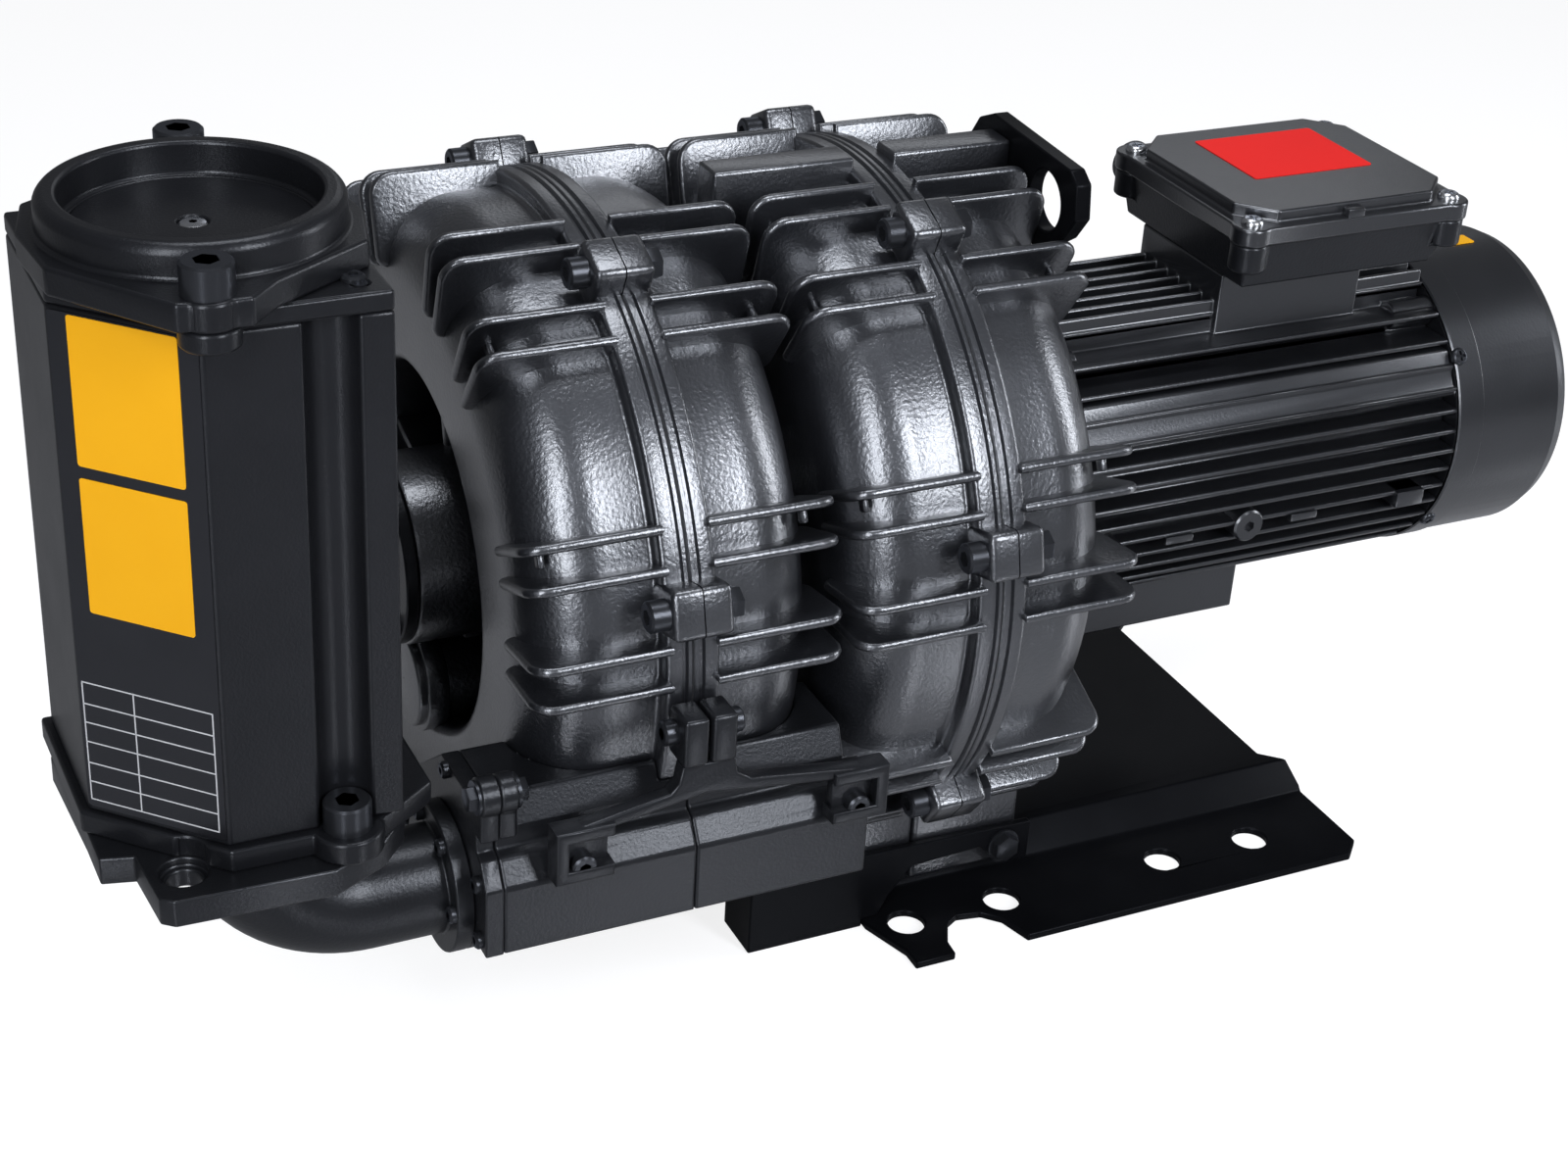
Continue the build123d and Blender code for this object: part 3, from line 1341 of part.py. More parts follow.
# Yoke that ties the inlet box to the band of stage 1, with its bolts and the clamp bolt of the inlet cover
with BuildPart() as yoke:
    with BuildSketch(Plane.XZ.offset(port_front)):
        with BuildLine():
            Polyline([(stage_1_x + x, z) for x, z in yoke_profile], close=True)
        make_face()
    extrude(amount=yoke_thick)
    with BuildSketch(Plane.XZ.offset(port_front)):
        with Locations((stage_1_x, yoke_ear_z)):
            Rectangle(2 * band_half, yoke_ear_height)
    extrude(amount=-16)
    with BuildSketch(cross_plane(stage_1_x + band_half)):
        Circle(band_radius + clear)
    extrude(amount=2 * band_half, mode=Mode.SUBTRACT)
    with BuildSketch(Plane.YZ.offset(stage_1_x - band_half)):
        with Locations((-yoke_bolt_y, yoke_ear_z)):
            Circle(yoke_screw_radius + bolt_clearance)
    extrude(amount=2 * band_half, mode=Mode.SUBTRACT)
    with BuildSketch(Plane.XZ.offset(port_front)):
        with Locations((yoke_left_x, yoke_screw_z), (yoke_right_x, yoke_screw_z)):
            Circle(yoke_screw_radius + bolt_clearance)
    extrude(amount=yoke_thick, mode=Mode.SUBTRACT)
yoke.part.label = "inlet_yoke"
export_step(yoke.part, "parts/inlet_yoke.step")

with BuildPart() as yoke_bolts:
    with BuildSketch(Plane.XZ.offset(port_front + yoke_thick)):
        with Locations((yoke_left_x, yoke_screw_z), (yoke_right_x, yoke_screw_z)):
            Circle(yoke_screw_radius)
    extrude(amount=-yoke_thick - yoke_screw_depth + 1)
    with BuildSketch(Plane.XZ.offset(port_front + yoke_thick)):
        with Locations((yoke_left_x, yoke_screw_z), (yoke_right_x, yoke_screw_z)):
            Circle(ear_bolt_head)
    extrude(amount=5)
    with BuildSketch(Plane.YZ.offset(stage_1_x - band_half)):
        with Locations((-yoke_bolt_y, yoke_ear_z)):
            Circle(yoke_screw_radius)
    extrude(amount=2 * band_half + 5)
    for start in (stage_1_x - band_half - 6, stage_1_x + band_half):
        with BuildSketch(Plane.YZ.offset(start)):
            with Locations((-yoke_bolt_y, yoke_ear_z)):
                Circle(ear_bolt_head)
        extrude(amount=6)
    with BuildSketch(Plane.YZ.offset(inlet_left - cap_thick)):
        with Locations((-ear_y, ear_z)):
            Circle(yoke_screw_radius)
    extrude(amount=2 * cap_thick + 7)
    for start in (inlet_left - cap_thick - 5, inlet_left + cap_thick):
        with BuildSketch(Plane.YZ.offset(start)):
            with Locations((-ear_y, ear_z)):
                RegularPolygon(ear_bolt_head, 6)
        extrude(amount=5)
yoke_bolts.part.label = "yoke_bolts"
export_step(yoke_bolts.part, "parts/yoke_bolts.step")


# Elbow under the silencer with its foot flange and its round end flange
with BuildPart() as elbow:
    with BuildLine(Plane(origin=(0, -pipe_y, 0), x_dir=(1, 0, 0), z_dir=(0, -1, 0))) as path:
        bend = JernArc(start=(silencer_x, foot_low), tangent=(0, -1), radius=elbow_bend, arc_size=90)
        Line(bend @ 1, (inlet_left - cap_thick, pipe_z))
    with BuildSketch(Plane.XY.offset(foot_low)):
        with Locations((silencer_x, -pipe_y)):
            Circle(pipe_radius)
    sweep(path=path.line)
    with BuildSketch(Plane.XY.offset(foot_low)):
        with Locations((silencer_x, -pipe_y)):
            Polygon(*foot_outline, align=None)
    extrude(amount=foot_thick)
    with BuildSketch(Plane.YZ.offset(inlet_left - cap_thick)):
        with Locations((-pipe_y, pipe_z)):
            Circle(pipe_flange_radius)
    extrude(amount=-elbow_flange_thick)
    with BuildSketch(Plane.XY.offset(foot_low)):
        with Locations((silencer_x, -pipe_y)):
            Circle(pipe_bore)
    sweep(path=path.line, mode=Mode.SUBTRACT)
    with BuildSketch(Plane.XY.offset(foot_low)):
        with Locations((silencer_x, -pipe_y)):
            Circle(pipe_bore)
    extrude(amount=foot_thick, mode=Mode.SUBTRACT)
    with BuildSketch(Plane.XY.offset(foot_low)):
        with Locations(*foot_hole_places):
            Circle(foot_plate_hole)
        with Locations(*tie_low_places):
            Circle(tie_bolt_radius + fit_gap)
    extrude(amount=foot_thick, mode=Mode.SUBTRACT)
    with BuildSketch(Plane.XY.offset(silencer_low)):
        with Locations(*foot_hole_places):
            Circle(foot_plate_recess)
    extrude(amount=-4, mode=Mode.SUBTRACT)
    with BuildSketch(Plane.YZ.offset(inlet_left - cap_thick)):
        with Locations(*elbow_screw_places):
            Circle(cap_screw_radius + bolt_clearance)
    extrude(amount=-elbow_flange_thick, mode=Mode.SUBTRACT)
elbow.part.label = "inlet_elbow"
export_step(elbow.part, "parts/inlet_elbow.step")


# Silencer: square shell with one cut corner, foot and top plates, head casting with the inlet ring
def shell_outline(inset):
    """Corners of the square shell seen from above, cut at the front left corner."""
    half = silencer_width / 2 - inset
    cut = silencer_chamfer - inset * 0.586
    return [(silencer_x + x, -pipe_y + y) for x, y in
            ((cut - half, -half), (half, -half), (half, half), (-half, half), (-half, cut - half))]


with BuildPart() as bottom_plate:
    with BuildSketch(Plane.XY.offset(silencer_low)):
        with Locations((silencer_x, -pipe_y)):
            Polygon(*bottom_outline, align=None)
        with Locations(*tie_low_places):
            Circle(tie_boss_radius)
        with Locations((silencer_x, -pipe_y)):
            Circle(liner_inner - core_wall, mode=Mode.SUBTRACT)
        with Locations(*tie_low_places):
            Circle(tie_bolt_radius + bolt_clearance, mode=Mode.SUBTRACT)
        with Locations(*rod_places):
            Circle(rod_radius + fit_gap, mode=Mode.SUBTRACT)
        with Locations(*foot_hole_places):
            Circle(foot_plate_recess, mode=Mode.SUBTRACT)
    extrude(amount=flange_thick)
bottom_plate.part.label = "silencer_bottom_plate"
export_step(bottom_plate.part, "parts/silencer_bottom_plate.step")

with BuildPart() as shell:
    with BuildSketch(Plane.XY.offset(silencer_floor)):
        with BuildLine():
            Polyline(shell_outline(0), close=True)
        make_face()
        with BuildLine():
            Polyline(shell_outline(silencer_wall), close=True)
        make_face(mode=Mode.SUBTRACT)
    extrude(amount=silencer_top - silencer_floor)
    with BuildSketch(Plane.XY.offset(silencer_floor)):
        with Locations(*tie_low_places):
            Circle(flute_radius + silencer_wall)
        with BuildLine():
            Polyline(shell_outline(0), close=True)
        make_face(mode=Mode.INTERSECT)
    extrude(amount=silencer_top - silencer_floor)
    with BuildSketch(Plane.XY.offset(silencer_floor)):
        with Locations(*tie_low_places):
            Circle(flute_radius)
    extrude(amount=silencer_top - silencer_floor, mode=Mode.SUBTRACT)
shell.part.label = "silencer_shell"
export_step(shell.part, "parts/silencer_shell.step")

with BuildPart() as liner:
    with BuildSketch(Plane.XY.offset(silencer_floor)):
        with Locations((silencer_x, -pipe_y)):
            Circle(liner_outer)
            Circle(liner_inner, mode=Mode.SUBTRACT)
    extrude(amount=silencer_top - silencer_floor)
liner.part.label = "silencer_liner"
export_step(liner.part, "parts/silencer_liner.step")

with BuildPart() as core:
    with BuildSketch(Plane.XY.offset(silencer_floor)):
        with Locations((silencer_x, -pipe_y)):
            Circle(liner_inner - fit_gap)
            Circle(liner_inner - core_wall, mode=Mode.SUBTRACT)
    extrude(amount=silencer_top - silencer_floor)
core.part.label = "silencer_core_tube"
export_step(core.part, "parts/silencer_core_tube.step")

with BuildPart() as top_plate:
    with BuildSketch(Plane.XY.offset(silencer_top)):
        with BuildLine():
            Polyline(shell_outline(0), close=True)
        make_face()
        with Locations(*tie_top_places):
            Circle(tie_head_radius + 1.5)
        with Locations((silencer_x, -pipe_y)):
            Circle(head_throat, mode=Mode.SUBTRACT)
        with Locations(*rod_places):
            Circle(rod_radius + fit_gap, mode=Mode.SUBTRACT)
        with Locations(*tie_top_places):
            Circle(tie_bolt_radius + fit_gap, mode=Mode.SUBTRACT)
    extrude(amount=plate_top_thick)
top_plate.part.label = "silencer_top_plate"
export_step(top_plate.part, "parts/silencer_top_plate.step")

with BuildPart() as rods:
    with BuildSketch(Plane.XY.offset(silencer_low)):
        with Locations(*rod_places):
            Circle(rod_radius)
    extrude(amount=head_floor - silencer_low)
rods.part.label = "silencer_tie_rods"
export_step(rods.part, "parts/silencer_tie_rods.step")

with BuildPart() as head:
    with BuildSketch(Plane.XY.offset(head_floor)):
        with Locations((silencer_x, -pipe_y)):
            Polygon(*head_outline, align=None)
        with Locations(*tie_top_places):
            Circle(tie_head_radius + 1.5)
    extrude(amount=head_height)
    with BuildSketch(Plane.XY.offset(head_floor + head_height)):
        with Locations((silencer_x, -pipe_y)):
            Circle(ring_radius)
    extrude(amount=ring_height - 3)
    with BuildSketch(Plane.XY.offset(head_floor + head_height + ring_height - 3)):
        with Locations((silencer_x, -pipe_y)):
            Circle(ring_radius)
    with BuildSketch(Plane.XY.offset(head_floor + head_height + ring_height)):
        with Locations((silencer_x, -pipe_y)):
            Circle(ring_lip_radius)
    loft()
    for seat, radius in ((disc_floor, disc_radius + bolt_clearance), (disc_floor + disc_thick, ring_bore)):
        with BuildSketch(Plane.XY.offset(seat)):
            with Locations((silencer_x, -pipe_y)):
                Circle(radius)
        extrude(amount=2 * ring_height, mode=Mode.SUBTRACT)
    with BuildSketch(Plane.XY.offset(head_floor)):
        with Locations((silencer_x, -pipe_y)):
            Circle(head_throat)
            Rectangle(2 * head_throat + 2, bridge_width, mode=Mode.SUBTRACT)
    extrude(amount=head_height, mode=Mode.SUBTRACT)
    with BuildSketch(Plane.XY.offset(head_floor)):
        with Locations((silencer_x, -pipe_y)):
            Circle(disc_screw_radius + fit_gap)
        with Locations(*tie_top_places):
            Circle(tie_bolt_radius + bolt_clearance)
    extrude(amount=head_height, mode=Mode.SUBTRACT)
head.part.label = "silencer_head"
export_step(head.part, "parts/silencer_head.step")

with BuildPart() as port_disc:
    with BuildSketch(Plane.XY.offset(disc_floor)):
        with Locations((silencer_x, -pipe_y)):
            Circle(disc_radius)
            Circle(disc_screw_radius + bolt_clearance, mode=Mode.SUBTRACT)
    extrude(amount=disc_thick)
    with BuildSketch(Plane.XY.offset(disc_floor + disc_thick)):
        with Locations((silencer_x, -pipe_y)):
            Circle(disc_screw_head + bolt_clearance)
    extrude(amount=-disc_screw_sink, mode=Mode.SUBTRACT)
port_disc.part.label = "inlet_port_disc"
export_step(port_disc.part, "parts/inlet_port_disc.step")

with BuildPart() as disc_screw:
    head_seat = disc_floor + disc_thick - disc_screw_sink
    with BuildSketch(Plane.XY.offset(head_seat)):
        with Locations((silencer_x, -pipe_y)):
            Circle(disc_screw_radius)
    extrude(amount=head_floor + 0.5 - head_seat)
    with BuildSketch(Plane.XY.offset(head_seat)):
        with Locations((silencer_x, -pipe_y)):
            Circle(disc_screw_head)
    extrude(amount=disc_screw_sink - 0.4)
disc_screw.part.label = "port_disc_screw"
export_step(disc_screw.part, "parts/port_disc_screw.step")

with BuildPart() as tie_screws:
    for places, head_floor_z, tip in ((tie_top_places, head_floor + head_height, silencer_top + 0.5),
                                      (tie_low_places, silencer_floor, foot_low + 0.5)):
        with BuildSketch(Plane.XY.offset(tip)):
            with Locations(*places):
                Circle(tie_bolt_radius)
        extrude(amount=head_floor_z - tip)
        with BuildSketch(Plane.XY.offset(head_floor_z)):
            with Locations(*places):
                Circle(tie_head_radius)
        extrude(amount=tie_head_height)
tie_screws.part.label = "silencer_flange_screws"
export_step(tie_screws.part, "parts/silencer_flange_screws.step")


# Lifting lug on the right end of the cast block of stage 2
with BuildPart() as lug:
    with BuildSketch(Plane.YZ.offset(stage_2_x + block_reach_right)):
        with BuildLine():
            Polyline([(y, shaft_height + z) for y, z in lug_profile], close=True)
        make_face()
        with Locations((lug_hole_y, lug_hole_z)):
            Circle(lug_hole_radius, mode=Mode.SUBTRACT)
        with Locations((block_y, shaft_height + lug_bolt_z)):
            Circle(lug_bolt_radius + bolt_clearance, mode=Mode.SUBTRACT)
    extrude(amount=lug_thick)
lug.part.label = "lifting_lug"
export_step(lug.part, "parts/lifting_lug.step")

# Hexagon bolts of one size: four under the feet, one in each support bracket, one in the lug
with BuildPart() as hex_bolts:
    with BuildSketch(Plane.XY.offset(plate_rise)):
        with Locations(*foot_bolt_places):
            Circle(foot_bolt_radius)
    extrude(amount=plate_thick + foot_bolt_depth - 1)
    with BuildSketch(Plane.XY.offset(plate_rise)):
        with Locations(*foot_bolt_places):
            RegularPolygon(nut_radius, 6)
    extrude(amount=-bolt_cap)
    for y_side in (-1, 1):
        seat = Plane.XZ.offset(-y_side * (foot_out + clear + plate_thick))
        with BuildSketch(seat):
            with Locations((bracket_bolt_x, bracket_bolt_z)):
                Circle(foot_bolt_radius)
        extrude(amount=y_side * (plate_thick + bracket_bolt_depth - 1))
        with BuildSketch(seat):
            with Locations((bracket_bolt_x, bracket_bolt_z)):
                RegularPolygon(nut_radius, 6)
        extrude(amount=-y_side * bolt_cap)
    with BuildSketch(Plane.YZ.offset(stage_2_x + block_reach_right + lug_thick)):
        with Locations((block_y, shaft_height + lug_bolt_z)):
            Circle(lug_bolt_radius)
    extrude(amount=-lug_thick - lug_bolt_depth + 1)
    with BuildSketch(Plane.YZ.offset(stage_2_x + block_reach_right + lug_thick)):
        with Locations((block_y, shaft_height + lug_bolt_z)):
            RegularPolygon(nut_radius, 6)
    extrude(amount=bolt_cap)
hex_bolts.part.label = "hex_bolts"
export_step(hex_bolts.part, "parts/hex_bolts.step")
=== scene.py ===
from math import cos, pi, radians, sin

import bmesh
import bpy
from mathutils import Matrix, Vector


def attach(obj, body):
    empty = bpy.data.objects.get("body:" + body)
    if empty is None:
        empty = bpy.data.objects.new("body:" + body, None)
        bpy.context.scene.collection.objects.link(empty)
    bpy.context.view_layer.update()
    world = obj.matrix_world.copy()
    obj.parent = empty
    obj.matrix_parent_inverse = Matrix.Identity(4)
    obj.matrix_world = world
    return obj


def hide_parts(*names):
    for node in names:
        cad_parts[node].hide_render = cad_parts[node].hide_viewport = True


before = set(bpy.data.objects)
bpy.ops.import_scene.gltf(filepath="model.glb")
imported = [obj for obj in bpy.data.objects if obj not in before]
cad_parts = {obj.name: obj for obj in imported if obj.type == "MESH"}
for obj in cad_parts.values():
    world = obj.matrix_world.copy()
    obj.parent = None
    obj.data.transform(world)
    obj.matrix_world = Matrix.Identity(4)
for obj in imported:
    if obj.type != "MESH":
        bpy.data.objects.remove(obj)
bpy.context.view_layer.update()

# Viewpoint: the photograph looks down at the front left of the blower from about
# 1.3 m and is tilted a little. The lens gives the same framing on a 36 mm sensor.
view_yaw = radians(27.088)
view_pitch = radians(29.276)
view_roll = radians(3.624)
ahead = Vector((sin(view_yaw) * cos(view_pitch), cos(view_yaw) * cos(view_pitch), -sin(view_pitch)))
level = Vector((cos(view_yaw), -sin(view_yaw), 0))
upward = level.cross(ahead)
across = cos(view_roll) * level + sin(view_roll) * upward
upright = cos(view_roll) * upward - sin(view_roll) * level
lens = bpy.data.cameras.new("viewpoint")
lens.lens = 60.58
lens.sensor_width = 36
camera = bpy.data.objects.new("viewpoint", lens)
camera.matrix_world = Matrix((
    (across.x, upright.x, -ahead.x, -0.63399),
    (across.y, upright.y, -ahead.y, -1.01138),
    (across.z, upright.z, -ahead.z, 0.76637),
    (0, 0, 0, 1)))
bpy.context.collection.objects.link(camera)
bpy.context.scene.camera = camera
bpy.context.scene.view_settings.view_transform = "Standard"


# Studio: three tall soft boxes at the front and right put broad highlights on the ring
# housings, two more light the top and the back. The dim room looks white to the camera.
def soft_box(name, place, target, width, height, watts):
    """Rectangular lamp at a place, turned to its target."""
    lamp = bpy.data.lights.new(name, "AREA")
    lamp.shape = "RECTANGLE"
    lamp.size = width
    lamp.size_y = height
    lamp.energy = watts
    lamp.color = (0.92, 0.95, 1)
    box = bpy.data.objects.new(name, lamp)
    box.location = place
    box.rotation_euler = (Vector(target) - Vector(place)).to_track_quat("-Z", "Y").to_euler()
    bpy.context.collection.objects.link(box)


soft_box("left_box", (-1.35, -1.45, 1.05), (-0.2, -0.1, 0.2), 0.28, 1.6, 30)
soft_box("front_box", (0.42, -1.62, 1.2), (-0.1, -0.05, 0.2), 0.36, 0.9, 25)
soft_box("right_box", (1.7, -0.5, 0.7), (0, -0.1, 0.2), 0.25, 1.0, 12)
soft_box("top_box", (-0.1, 0.0, 2.0), (-0.1, 0, 0.2), 1.1, 0.5, 16)
soft_box("back_box", (0.75, 1.45, 1.15), (0, 0, 0.25), 1.2, 0.4, 1.6)

room = bpy.data.worlds.new("studio_room")
room.use_nodes = True
room_air = room.node_tree.nodes["Background"]
room_air.inputs["Color"].default_value = (0.93, 0.95, 1, 1)
looked_at = room.node_tree.nodes.new("ShaderNodeLightPath")
room_glow = room.node_tree.nodes.new("ShaderNodeMath")
room_glow.operation = "MULTIPLY_ADD"
room_glow.inputs[1].default_value = 0.85
room_glow.inputs[2].default_value = 0.12
room.node_tree.links.new(looked_at.outputs["Is Camera Ray"], room_glow.inputs[0])
room.node_tree.links.new(room_glow.outputs["Value"], room_air.inputs["Strength"])
bpy.context.scene.world = room

# Floor: a white gloss sheet that runs out of view. It shows the studio white to the
# camera and to gloss where nothing shades it, and keeps the shadow and a reflection.
floor_mesh = bmesh.new()
bmesh.ops.create_grid(floor_mesh, x_segments=1, y_segments=1, size=6)
floor_data = bpy.data.meshes.new("studio_floor")
floor_mesh.to_mesh(floor_data)
floor_mesh.free()
floor = bpy.data.objects.new("studio_floor", floor_data)
bpy.context.collection.objects.link(floor)
floor_white = bpy.data.materials.new("studio_floor_white")
floor_white.use_nodes = True
floor_nodes, floor_links = floor_white.node_tree.nodes, floor_white.node_tree.links
sheet_shader = floor_nodes["Principled BSDF"]
sheet_shader.inputs["Base Color"].default_value = (0.34, 0.34, 0.35, 1)
sheet_shader.inputs["Roughness"].default_value = 0.06
sheet_shader.inputs["Specular IOR Level"].default_value = 1.0
sheet_shader.inputs["Emission Color"].default_value = (1, 1, 1, 1)
seen = floor_nodes.new("ShaderNodeLightPath")
to_gloss = floor_nodes.new("ShaderNodeMath")
to_gloss.operation = "MULTIPLY"
to_gloss.inputs[1].default_value = 0.05
glow = floor_nodes.new("ShaderNodeMath")
glow.operation = "MULTIPLY_ADD"
glow.inputs[1].default_value = 0.8
floor_links.new(seen.outputs["Is Glossy Ray"], to_gloss.inputs[0])
floor_links.new(seen.outputs["Is Camera Ray"], glow.inputs[0])
floor_links.new(to_gloss.outputs["Value"], glow.inputs[2])
floor_links.new(glow.outputs["Value"], sheet_shader.inputs["Emission Strength"])
floor_data.materials.append(floor_white)


# Ring housings: each stage is two aluminium castings that meet in a bolted band, with
# thin cooling ribs beside every clamping boss. Painted satin black over a grained skin.
def grained_finish(name, deep, light, rough, grain, depth, metal=0.0, spread=0.06, patch=30, gloss=0.5,
                   coat=0.0):
    """Finish with a faint change of tone, a fine skin as relief and uneven gloss."""
    finish = bpy.data.materials.new(name)
    finish.use_nodes = True
    nodes, links = finish.node_tree.nodes, finish.node_tree.links
    shader = nodes["Principled BSDF"]
    shader.inputs["Metallic"].default_value = metal
    shader.inputs["Specular IOR Level"].default_value = gloss
    shader.inputs["Specular Tint"].default_value = (0.86, 0.9, 1, 1)
    shader.inputs["Coat Weight"].default_value = coat
    shader.inputs["Coat Roughness"].default_value = 0.24
    shader.inputs["Coat IOR"].default_value = 1.7
    place = nodes.new("ShaderNodeTexCoord")
    tone = nodes.new("ShaderNodeTexNoise")
    tone.inputs["Scale"].default_value = patch
    tone.inputs["Detail"].default_value = 6
    shade = nodes.new("ShaderNodeMix")
    shade.data_type = "RGBA"
    shade.inputs["A"].default_value = (*deep, 1)
    shade.inputs["B"].default_value = (*light, 1)
    skin = nodes.new("ShaderNodeTexNoise")
    skin.inputs["Scale"].default_value = grain
    skin.inputs["Detail"].default_value = 4
    relief = nodes.new("ShaderNodeBump")
    relief.inputs["Strength"].default_value = 0.7
    relief.inputs["Distance"].default_value = depth
    sheen = nodes.new("ShaderNodeMapRange")
    sheen.inputs["To Min"].default_value = rough - spread
    sheen.inputs["To Max"].default_value = rough + spread
    links.new(place.outputs["Object"], tone.inputs["Vector"])
    links.new(place.outputs["Object"], skin.inputs["Vector"])
    links.new(tone.outputs["Fac"], shade.inputs["Factor"])
    links.new(shade.outputs["Result"], shader.inputs["Base Color"])
    links.new(tone.outputs["Fac"], sheen.inputs["Value"])
    links.new(sheen.outputs["Result"], shader.inputs["Roughness"])
    links.new(skin.outputs["Fac"], relief.inputs["Height"])
    links.new(relief.outputs["Normal"], shader.inputs["Normal"])
    if coat:
        links.new(relief.outputs["Normal"], shader.inputs["Coat Normal"])
    return finish


def place_piece(name, shape, finish, nodes=(), sharp=32):
    """Makes the object, smooths it between sharp edges and ties it to the housing."""
    data = bpy.data.meshes.new(name)
    shape.to_mesh(data)
    shape.free()
    data.materials.append(finish)
    data.shade_smooth()
    data.set_sharp_from_angle(angle=radians(sharp))
    piece = bpy.data.objects.new(name, data)
    bpy.context.collection.objects.link(piece)
    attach(piece, "housing")
    if nodes:
        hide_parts(*nodes)
    return piece


def add_shape(shape, part, matrix):
    """Adds a part, turned to its place with its faces outwards, to a larger shape."""
    bmesh.ops.transform(part, matrix=matrix, verts=part.verts)
    bmesh.ops.remove_doubles(part, verts=part.verts, dist=0.00001)
    bmesh.ops.recalc_face_normals(part, faces=part.faces)
    held = bpy.data.meshes.new("part")
    part.to_mesh(held)
    part.free()
    shape.from_mesh(held)
    bpy.data.meshes.remove(held)


def block(size_x, size_y, size_z, rounding, steps=2):
    """Block with rounded edges, standing in the middle of its own origin."""
    part = bmesh.new()
    bmesh.ops.create_cube(part, size=1)
    bmesh.ops.scale(part, vec=(size_x, size_y, size_z), verts=part.verts)
    bmesh.ops.bevel(part, geom=part.edges[:], offset=rounding, offset_type="OFFSET", segments=steps,
                    profile=0.5, affect="EDGES", material=-1)
    return part


axis_height = 0.188
stage_x = {1: -0.240, 2: -0.093}
boss_pitch = 360 / 7
boss_places = {1: (0, 1, 2, 3, 4, 5), 2: (0, 1, 2, 3, 6)}
boss_at = {stage: [14.5 + boss_pitch * n for n in places] for stage, places in boss_places.items()}
ring_paint = grained_finish("ring_casting_paint", (0.004, 0.0042, 0.0052), (0.009, 0.0095, 0.0115), 0.34, 560,
                            0.0003, gloss=1.0, coat=0.8)


def radial(angle, x, side):
    """Turns a part drawn with X along the shaft and Z outwards to its angle on a stage."""
    a = radians(angle)
    return Matrix(((side, 0, 0, x), (0, sin(a), -cos(a), 0), (0, cos(a), sin(a), axis_height), (0, 0, 0, 1)))


def turned_ring(shape, outline, roundings, side, x, steps):
    """Spins a closed outline of (along, radius) in mm round the shaft line."""
    points = [shape.verts.new((u / 1000, 0, r / 1000)) for u, r in outline]
    for here, there in zip(points, points[1:] + points[:1]):
        shape.edges.new((here, there))
    for n, size, arc in roundings:
        bmesh.ops.bevel(shape, geom=[points[n]], offset=size / 1000, offset_type="OFFSET", segments=arc,
                        profile=0.5, affect="VERTICES", material=-1)
    bmesh.ops.spin(shape, geom=shape.verts[:] + shape.edges[:], cent=(0, 0, 0), axis=(1, 0, 0), angle=2 * pi,
                   steps=steps, use_merge=True)
    bmesh.ops.recalc_face_normals(shape, faces=shape.faces)
    seated = Matrix(((side, 0, 0, x), (0, 1, 0, 0), (0, 0, 1, axis_height), (0, 0, 0, 1)))
    bmesh.ops.transform(shape, matrix=seated, verts=shape.verts)


def thicken(shape, way):
    """Gives the flat faces of a shape their thickness, along one vector."""
    pulled = bmesh.ops.extrude_face_region(shape, geom=shape.faces[:])["geom"]
    bmesh.ops.translate(shape, vec=way, verts=[v for v in pulled if isinstance(v, bmesh.types.BMVert)])


def cooling_rib():
    """Rib plate: it follows the band and the shoulder and has a fully rounded edge."""
    rib = bmesh.new()
    outline = [(10, 150), (10, 168.5), (70.5, 168.5), (70.5, 128), (52, 123)]
    corners = [rib.verts.new((u / 1000, 0, r / 1000)) for u, r in outline]
    rib.faces.new(corners)
    bmesh.ops.bevel(rib, geom=[corners[2]], offset=0.0105, offset_type="OFFSET", segments=7, profile=0.5,
                    affect="VERTICES", material=-1)
    bmesh.ops.bevel(rib, geom=[corners[3]], offset=0.004, offset_type="OFFSET", segments=3, profile=0.5,
                    affect="VERTICES", material=-1)
    thicken(rib, (0, 0.0044, 0))
    bmesh.ops.translate(rib, vec=(0, -0.0022, 0), verts=rib.verts)
    rim = [e for e in rib.edges if abs(e.verts[0].co.y - e.verts[1].co.y) < 0.0001]
    bmesh.ops.bevel(rib, geom=rim, offset=0.0019, offset_type="OFFSET", segments=3, profile=0.5,
                    affect="EDGES", material=-1, clamp_overlap=True)
    return rib


